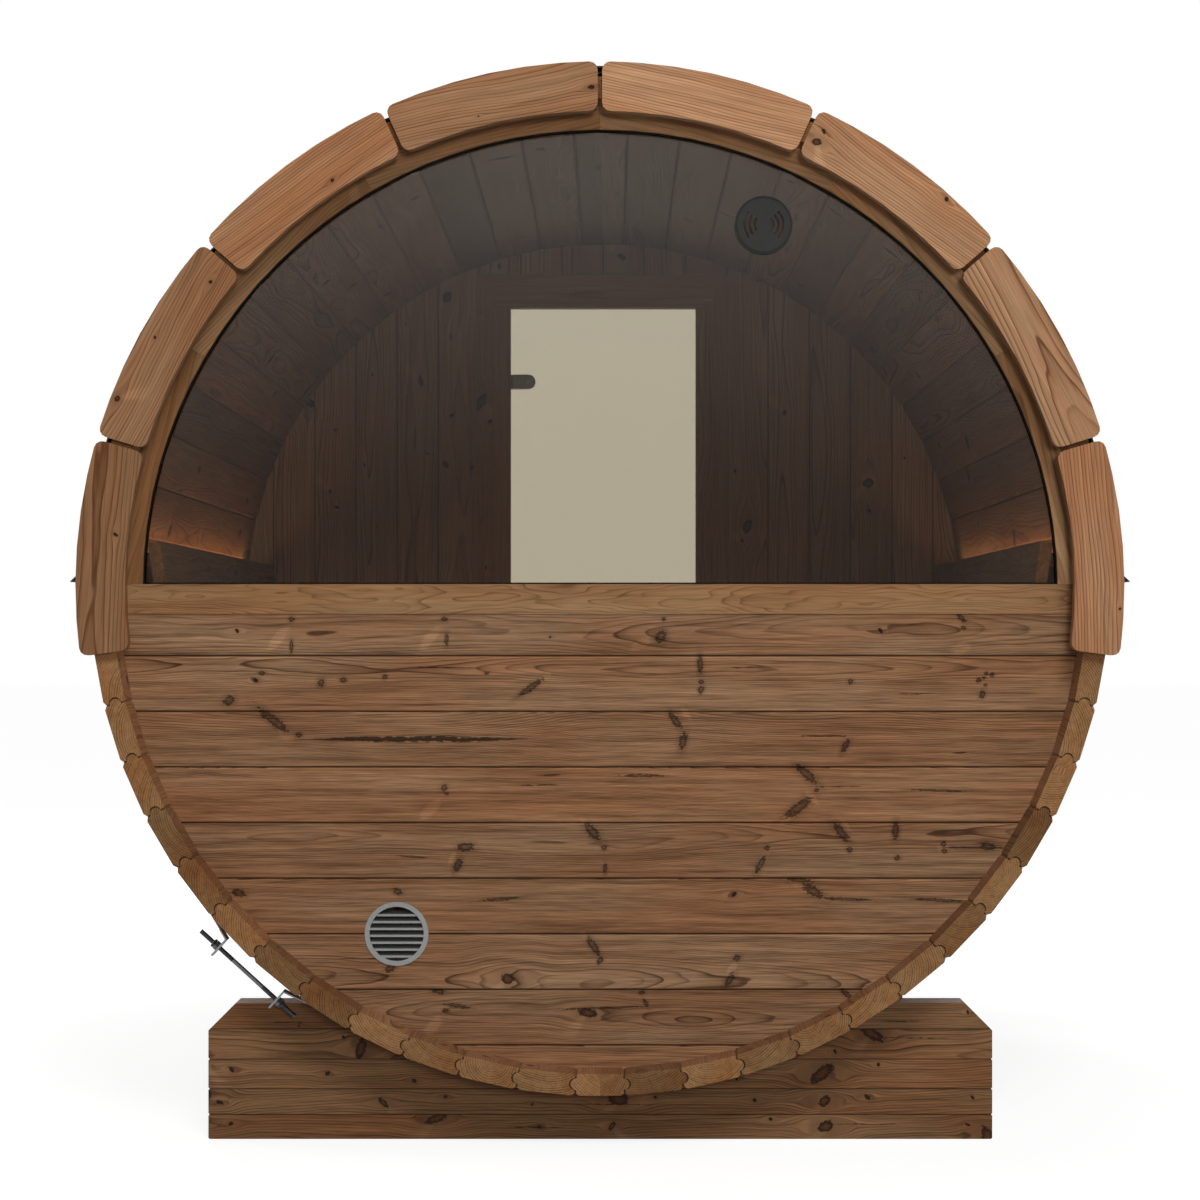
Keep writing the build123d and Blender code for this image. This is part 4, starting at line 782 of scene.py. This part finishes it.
# CAD nodes and their looks
node_looks = {
    "staves": ("staves_floor", "stave_crown", "staves_lower_left", "staves_middle_left", "staves_upper_left",
               "staves_lower_right", "staves_middle_right", "staves_upper_right"),
    "wall_boards": ("window_wall_boards",),
    "door_wall": ("door_wall_left", "door_wall_right", "door_wall_over", "door_wall_under"),
    "ring": ("window_ring",),
    "rail": ("window_rail",),
    "trim": ("window_end_trim", "door_end_trim"),
    "shingle": ("roof_shingles_left", "roof_shingles_right", "ridge_cap"),
    "dark_metal": ("drip_edges",),
    "band_steel": ("band_window_end", "band_door_end"),
    "rod_steel": ("tension_rods",),
    "cradle": ("cradle_window_end", "cradle_door_end"),
    "window_pane": ("window_glass",),
    "door_pane": ("door_glass",),
    "vent_black": ("glass_vent",),
    "vent_grey": ("louvre_vent",),
    "door_frame": ("door_frame",),
    "casing": ("door_casing_outer", "door_casing_inner"),
    "hinge_metal": ("door_hinge_clamps", "door_hinge_frames"),
    "handle": ("door_handles",),
    "floor": ("floor_slats",),
    "bearers": ("floor_bearers",),
    "bench": ("bench_left", "bench_right"),
    "supports": ("bench_supports",),
    "backrest": ("backrest_left", "backrest_right"),
    "brackets": ("backrest_brackets",),
    "light": ("light_strips",),
}
for look, names in node_looks.items():
    for name in names:
        mesh = nodes[name].data
        mesh.materials.clear()
        mesh.materials.append(looks[look])


def add_piece(name, mesh, look, body="shell"):
    """A new piece from a bmesh, with its material and the body it rides on."""
    data = bpy.data.meshes.new(name)
    bmesh.ops.recalc_face_normals(mesh, faces=mesh.faces)
    mesh.to_mesh(data)
    mesh.free()
    piece = bpy.data.objects.new(name, data)
    scene.collection.objects.link(piece)
    data.materials.append(looks[look])
    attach(piece, body)
    return piece


def polar(radius, angle, y):
    """A point by its radius and its angle from +X towards up, round the barrel's axis."""
    return (radius * math.cos(angle), y, AXIS + radius * math.sin(angle))


def grid_solid(mesh, us, vs, solid, top, bottom):
    """A closed sheet over a grid of cells, where solid(i, j) says which cells are there."""
    upper = {(i, j): mesh.verts.new(top(u, v)) for i, u in enumerate(us) for j, v in enumerate(vs)}
    lower = {(i, j): mesh.verts.new(bottom(u, v)) for i, u in enumerate(us) for j, v in enumerate(vs)}
    cells = {(i, j) for i in range(len(us) - 1) for j in range(len(vs) - 1) if solid(i, j)}
    for i, j in sorted(cells):
        ring = [(i, j), (i + 1, j), (i + 1, j + 1), (i, j + 1)]
        mesh.faces.new([upper[k] for k in ring])
        mesh.faces.new([lower[k] for k in reversed(ring)])
        neighbours = ((i, j - 1), (i + 1, j), (i, j + 1), (i - 1, j))
        for edge, beyond in enumerate(neighbours):
            if beyond not in cells:
                a, b = ring[edge], ring[(edge + 1) % 4]
                mesh.faces.new((upper[b], upper[a], lower[a], lower[b]))
    loose = [v for v in mesh.verts if not v.link_faces]
    bmesh.ops.delete(mesh, geom=loose, context="VERTS")


# Roof: courses with slots cut between their tabs, over a sheet of felt
def build_courses(side):
    draw = random.Random(5 if side > 0 else 6)
    mesh = bmesh.new()
    for course in range(COURSES):
        start = COURSE_START + course * COURSE_ANGLE
        end = min(start + COURSE_FULL, math.pi / 2 - 0.00015 / ROOF_RADIUS)
        offset = TAB_WIDTH / 2 if course % 2 else 0.0
        cuts = [-STAVE_HALF_LENGTH]
        place = -STAVE_HALF_LENGTH - offset
        while place < STAVE_HALF_LENGTH + TAB_WIDTH:
            for edge in (place - TAB_SLOT / 2, place + TAB_SLOT / 2):
                if abs(edge) < STAVE_HALF_LENGTH - 0.03:
                    cuts.append(edge)
            place += TAB_WIDTH
        cuts.append(STAVE_HALF_LENGTH)
        rises = [draw.uniform(0.0, 0.0006) for _ in cuts]
        slot_end = start + 0.86 * COURSE_ANGLE
        angles = [start, start + 0.3 * COURSE_ANGLE, slot_end, end]
        if slot_end > end - 0.001:
            angles = [start, start + 0.3 * COURSE_ANGLE, end - 0.012, end]

        def radius(angle, first=start):
            return ROOF_RADIUS + COURSE_LIFT * (1 - (angle - first) / COURSE_FULL)

        def top(y, angle):
            lift = rises[cuts.index(y)] if angle == angles[0] else 0.0
            edge = -0.0006 if angle == angles[0] else 0.0
            x, y, z = polar(radius(angle) + SHINGLE + lift + edge, angle, y)
            return (side * x, y, z)

        def bottom(y, angle):
            x, y, z = polar(radius(angle) + 0.0002, angle, y)
            return (side * x, y, z)

        def solid(i, j):
            is_slot = cuts[i + 1] - cuts[i] < 1.5 * TAB_SLOT
            return not (is_slot and j < 2)

        grid_solid(mesh, cuts, angles, solid, top, bottom)
    return mesh


for side, hand in ((1, "right"), (-1, "left")):
    shingles = add_piece(f"shingle_tabs_{hand}", build_courses(side), "shingle")
    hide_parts(f"roof_shingles_{hand}")


def build_felt():
    """The sheet under the shingles, from one drip edge over the crown to the other."""
    mesh = bmesh.new()
    count = 60
    low = COURSE_START + 0.045
    angles = [low + (math.pi - 2 * low) * n / count for n in range(count + 1)]
    ends = [-STAVE_HALF_LENGTH + 0.002, STAVE_HALF_LENGTH - 0.002]
    grid_solid(mesh, ends, angles, lambda i, j: True,
               lambda y, a: polar(ROOF_RADIUS - 0.00002, a, y),
               lambda y, a: polar(ROOF_RADIUS - 0.00022, a, y))
    return mesh


add_piece("roof_felt", build_felt(), "felt")


def build_ridge():
    """Ridge tiles bent over the crown, each lapping the one before."""
    mesh = bmesh.new()
    radius = ROOF_RADIUS + COURSE_LIFT + SHINGLE + 0.0003
    half = math.radians(6.0)
    angles = [math.pi / 2 + half * t for t in (-1, -0.5, 0, 0.5, 1)]
    tiles = 14
    step = 2 * STAVE_HALF_LENGTH / tiles
    for n in range(tiles):
        start = -STAVE_HALF_LENGTH + n * step
        finish = min(start + step + 0.03, STAVE_HALF_LENGTH)

        def rise(y, first=start, last=finish):
            return 0.0001 + 0.0036 * (last - y) / (last - first)

        grid_solid(mesh, [start, finish], angles, lambda i, j: True,
                   lambda y, a: polar(radius + rise(y) + 0.0034, a, y),
                   lambda y, a: polar(radius + rise(y), a, y))
    return mesh


ridge = add_piece("ridge_tiles", build_ridge(), "shingle")
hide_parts("ridge_cap")


# Glass: a black gasket round the window pane, outside and inside
def build_gasket(face, depth):
    """A strip round the half-round opening, from the pane's face for a depth."""
    mesh = bmesh.new()
    outer = FRAME_INNER - 0.0002
    inner = outer - 0.0019
    start = math.asin((SILL + 0.0003) / outer)
    angles = [start + (math.pi - 2 * start) * n / 96 for n in range(97)]
    outside = [polar(outer, a, 0) for a in angles]
    bottom = SILL + 0.0032 + AXIS
    low = math.asin((bottom - AXIS) / inner)
    inside = [polar(inner, low + (math.pi - 2 * low) * n / 96, 0) for n in range(97)]
    rings = []
    for y in (face, face + depth):
        rings.append(([mesh.verts.new((p[0], y, p[2])) for p in outside], [mesh.verts.new((p[0], y, p[2])) for p in inside]))
    (near_out, near_in), (far_out, far_in) = rings
    count = len(angles)
    for n in range(count):
        m = (n + 1) % count
        mesh.faces.new((near_out[n], near_out[m], near_in[m], near_in[n]))
        mesh.faces.new((far_out[m], far_out[n], far_in[n], far_in[m]))
        mesh.faces.new((near_in[n], near_in[m], far_in[m], far_in[n]))
        mesh.faces.new((near_out[m], near_out[n], far_out[n], far_out[m]))
    return mesh


add_piece("window_gasket_outer", build_gasket(-WALL_MIDDLE - GLASS_HALF - 0.0003, -0.009), "gasket")
add_piece("window_gasket_inner", build_gasket(-WALL_MIDDLE + GLASS_HALF + 0.0003, 0.009), "gasket")


# Fasteners
def turned(mesh, profile, sides, matrix):
    """A solid of revolution from (radius, height) pairs, its axis on the matrix's Z."""
    rows = []
    for radius, height in profile:
        if radius < 1e-6:
            rows.append([mesh.verts.new(matrix @ Vector((0, 0, height)))])
            continue
        rows.append([
            mesh.verts.new(matrix @ Vector((
                radius * math.cos(2 * math.pi * k / sides), radius * math.sin(2 * math.pi * k / sides), height)))
            for k in range(sides)
        ])
    for a, b in zip(rows, rows[1:]):
        for k in range(sides):
            m = (k + 1) % sides
            ring = [a[k % len(a)], a[m % len(a)], b[m % len(b)], b[k % len(b)]]
            ring = list(dict.fromkeys(ring))
            if len(ring) > 2:
                mesh.faces.new(ring)


def look_along(place, direction):
    """A matrix at a place whose Z points in a direction."""
    turn = Vector(direction).to_track_quat("Z", "Y").to_matrix().to_4x4()
    return Matrix.Translation(Vector(place)) @ turn


SCREW = ((0.0, 0.0), (0.0, 0.0004), (0.0016, 0.0004), (0.0018, 0.0016), (0.0038, 0.0014), (0.0046, 0.0), (0.0, -0.0001))
CAP = ((0.0, 0.0012), (0.0030, 0.0012), (0.0034, 0.0036), (0.0062, 0.0034), (0.0070, 0.0026), (0.0070, -0.0002), (0.0, -0.0002))
hinge_heights = (DOOR_LIGHT_TOP - 0.1915, DOOR_LIGHT_BOTTOM + 0.1915)

frame_screws = bmesh.new()
clamp_bolts = bmesh.new()
for middle in hinge_heights:
    z = AXIS + middle
    for rise in (-0.024, 0.0, 0.024):
        turned(frame_screws, SCREW, 16, look_along((-0.2815, FRAME_OUTER + 0.0034, z + rise), (0, 1, 0)))
    for along in (0.018, 0.041):
        turned(clamp_bolts, CAP, 20, look_along((-0.240 + along, LEAF_INNER - 0.0064, z), (0, -1, 0)))
add_piece("hinge_screws", frame_screws, "screw_steel")
add_piece("hinge_bolts", clamp_bolts, "screw_steel", "door")

rosettes = bmesh.new()
ROSETTE = ((0.0074, 0.0), (0.0135, 0.0), (0.0135, 0.0016), (0.0125, 0.0026), (0.0074, 0.0026), (0.0074, 0.0))
for rise in (-0.110, 0.110):
    z = AXIS + DOOR_LIGHT_BOTTOM + 0.650 + rise
    for y, way in ((LEAF_OUTER + 0.0001, 1), (LEAF_INNER - 0.0001, -1)):
        turned(rosettes, ROSETTE, 28, look_along((0.183, y, z), (0, way, 0)))
add_piece("handle_rosettes", rosettes, "screw_steel", "door")

# Tensioners: threads on the rods' ends and a second nut outside each nut
TENSION = math.radians(42.35)
STRAP_END = -(CREST + 0.0003 + 0.0195)
ROD_OUT = -STRAP_END + 0.024
rod_centre = (-ROD_OUT * math.sin(TENSION), -ROD_OUT * math.cos(TENSION) + AXIS)
rod_way = (math.cos(TENSION), 0.0, -math.sin(TENSION))
PITCH = 0.0015
NUT_END = 0.0740 + 0.0045 + 0.0083  # from the rod's middle to the outer face of a nut


def add_thread(mesh, matrix, start, finish):
    """A ridge that winds round a rod of 4.4 mm radius."""
    around = 14
    count = int((finish - start) / PITCH * around)
    rows = []
    for n in range(count + 1):
        angle = 2 * math.pi * n / around
        height = start + PITCH * n / around
        corner = []
        for radius, rise in ((0.0042, -0.45), (0.0050, 0.0), (0.0042, 0.45)):
            corner.append(mesh.verts.new(matrix @ Vector((
                radius * math.cos(angle), radius * math.sin(angle), height + rise * PITCH))))
        rows.append(corner)
    for a, b in zip(rows, rows[1:]):
        for k in range(3):
            m = (k + 1) % 3
            mesh.faces.new((a[k], a[m], b[m], b[k]))
    mesh.faces.new(rows[0])
    mesh.faces.new(list(reversed(rows[-1])))


threads = bmesh.new()
lock_nuts = bmesh.new()
NUT = ((0.0046, 0.0), (0.0084, 0.0), (0.0096, 0.0008), (0.0096, 0.0042), (0.0084, 0.0050), (0.0046, 0.0050), (0.0046, 0.0))
for y in (-WALL_MIDDLE, WALL_MIDDLE):
    place = look_along((rod_centre[0], y, rod_centre[1]), rod_way)
    add_thread(threads, place, -0.1245, -NUT_END - 0.0056)
    add_thread(threads, place, -0.0730, -0.0400)
    add_thread(threads, place, 0.0400, 0.0730)
    add_thread(threads, place, NUT_END + 0.0056, 0.1245)
    for way in (1, -1):
        start = way * (NUT_END + 0.0002)
        turned(lock_nuts, NUT, 6, place @ Matrix.Translation((0, 0, start)) @ Matrix.Scale(way, 4, (0, 0, 1)))
add_piece("rod_threads", threads, "thread_steel")
add_piece("lock_nuts", lock_nuts, "nut_steel")

# Floor and light
floor_mesh = bmesh.new()
bmesh.ops.create_grid(floor_mesh, x_segments=1, y_segments=1, size=60)
floor_data = bpy.data.meshes.new("studio_floor")
floor_mesh.to_mesh(floor_data)
floor_mesh.free()
studio_floor = bpy.data.objects.new("studio_floor", floor_data)
studio_floor.location = (0, 0, -0.0005)
scene.collection.objects.link(studio_floor)

floor_material = bpy.data.materials.new("studio floor")
floor_material.use_nodes = True
floor_material.node_tree.nodes.clear()
g = Graph(floor_material.node_tree)
seen = g.node("ShaderNodeLightPath").outputs
seen_directly = g.math("MAXIMUM", g.math("MAXIMUM", seen["Is Camera Ray"], seen["Is Glossy Ray"]), seen["Is Transmission Ray"])
matt = g.node("ShaderNodeBsdfDiffuse", {"Color": (0.34, 0.34, 0.34, 1)})
floor_x, floor_y, _ = g.split(g.node("ShaderNodeTexCoord").outputs["Object"])
far = g.math("SQRT", g.add(g.mul(floor_x, floor_x), g.mul(floor_y, floor_y)))
level = g.step(far, 1.6, 5.0, 0.84, 0.97)
glow = g.node("ShaderNodeEmission", {"Color": (1, 1, 1, 1), "Strength": g.mul(seen_directly, level)})
together = g.node("ShaderNodeAddShader", {0: matt.outputs[0], 1: glow.outputs[0]})
g.put(g.node("ShaderNodeOutputMaterial").inputs["Surface"], together.outputs[0])
floor_data.materials.append(floor_material)

world = bpy.data.worlds.new("studio")
world.use_nodes = True
world.node_tree.nodes.clear()
scene.world = world
g = Graph(world.node_tree)
seen = g.node("ShaderNodeLightPath").outputs
seen_directly = g.math("MAXIMUM", g.math("MAXIMUM", seen["Is Camera Ray"], seen["Is Glossy Ray"]), seen["Is Transmission Ray"])
light_sky = g.node("ShaderNodeBackground", {"Color": (1, 1, 1, 1), "Strength": 0.04})
height = g.split(g.node("ShaderNodeTexCoord").outputs["Generated"])[2]
bank = g.mul(g.step(height, 0.03, 0.17), g.step(height, 0.34, 0.2))
white_sky = g.node("ShaderNodeBackground", {"Color": (1, 1, 1, 1), "Strength": g.fma(g.mul(g.mul(seen["Is Glossy Ray"], g.sub(1.0, seen["Is Transmission Ray"])), bank), 3.2, 1.0)})
sky = g.node("ShaderNodeMixShader", {0: seen_directly})
g.put(sky.inputs[1], light_sky.outputs[0])
g.put(sky.inputs[2], white_sky.outputs[0])
g.put(g.node("ShaderNodeOutputWorld").inputs["Surface"], sky.outputs[0])


def area_light(name, place, target, size, power, colour=(1, 1, 1)):
    lamp = bpy.data.lights.new(name, "AREA")
    lamp.shape = "SQUARE"
    lamp.size = size
    lamp.energy = power
    lamp.color = colour
    lamp_object = bpy.data.objects.new(name, lamp)
    scene.collection.objects.link(lamp_object)
    lamp_object.matrix_world = look_along(place, Vector(place) - Vector(target))
    lamp_object.visible_glossy = False
    lamp_object.visible_transmission = False
    return lamp_object


area_light("key", (0.55, -9.0, 1.6), (0, -1.1, 1.1), 0.8, 140)
area_light("high", (0.9, -7.0, 4.7), (0, -1.0, 1.0), 2.0, 220)
area_light("side", (4.6, -2.0, 3.6), (0, 0, 1.2), 2.4, 40)
area_light("top", (0.5, 0.6, 6.5), (0, 0, 1.1), 3.5, 70)
area_light("back", (-2.6, 7.5, 3.6), (0, 1.0, 1.1), 2.4, 190)
area_light("left", (-5.5, 2.0, 3.4), (-0.6, 0.3, 1.0), 2.4, 80)
# Warm strips behind the backrests, aimed up at the staves
for side in (-1, 1):
    strip = area_light(f"backrest_{side}", (side * 0.912, 0.0, AXIS + 0.070), (side * 0.935, 0.0, AXIS + 0.2), 0.012, 1.0,
                       (1.0, 0.74, 0.48))
    strip.data.shape = "RECTANGLE"
    strip.matrix_world = Matrix.Translation((side * 0.912, 0.0, AXIS + 0.070)) @ Matrix.Rotation(math.pi / 2, 4, "Z") @ (
        Matrix.Rotation(math.pi, 4, "X"))
    strip.data.size, strip.data.size_y = 1.8, 0.012

scene.view_settings.view_transform = "Standard"
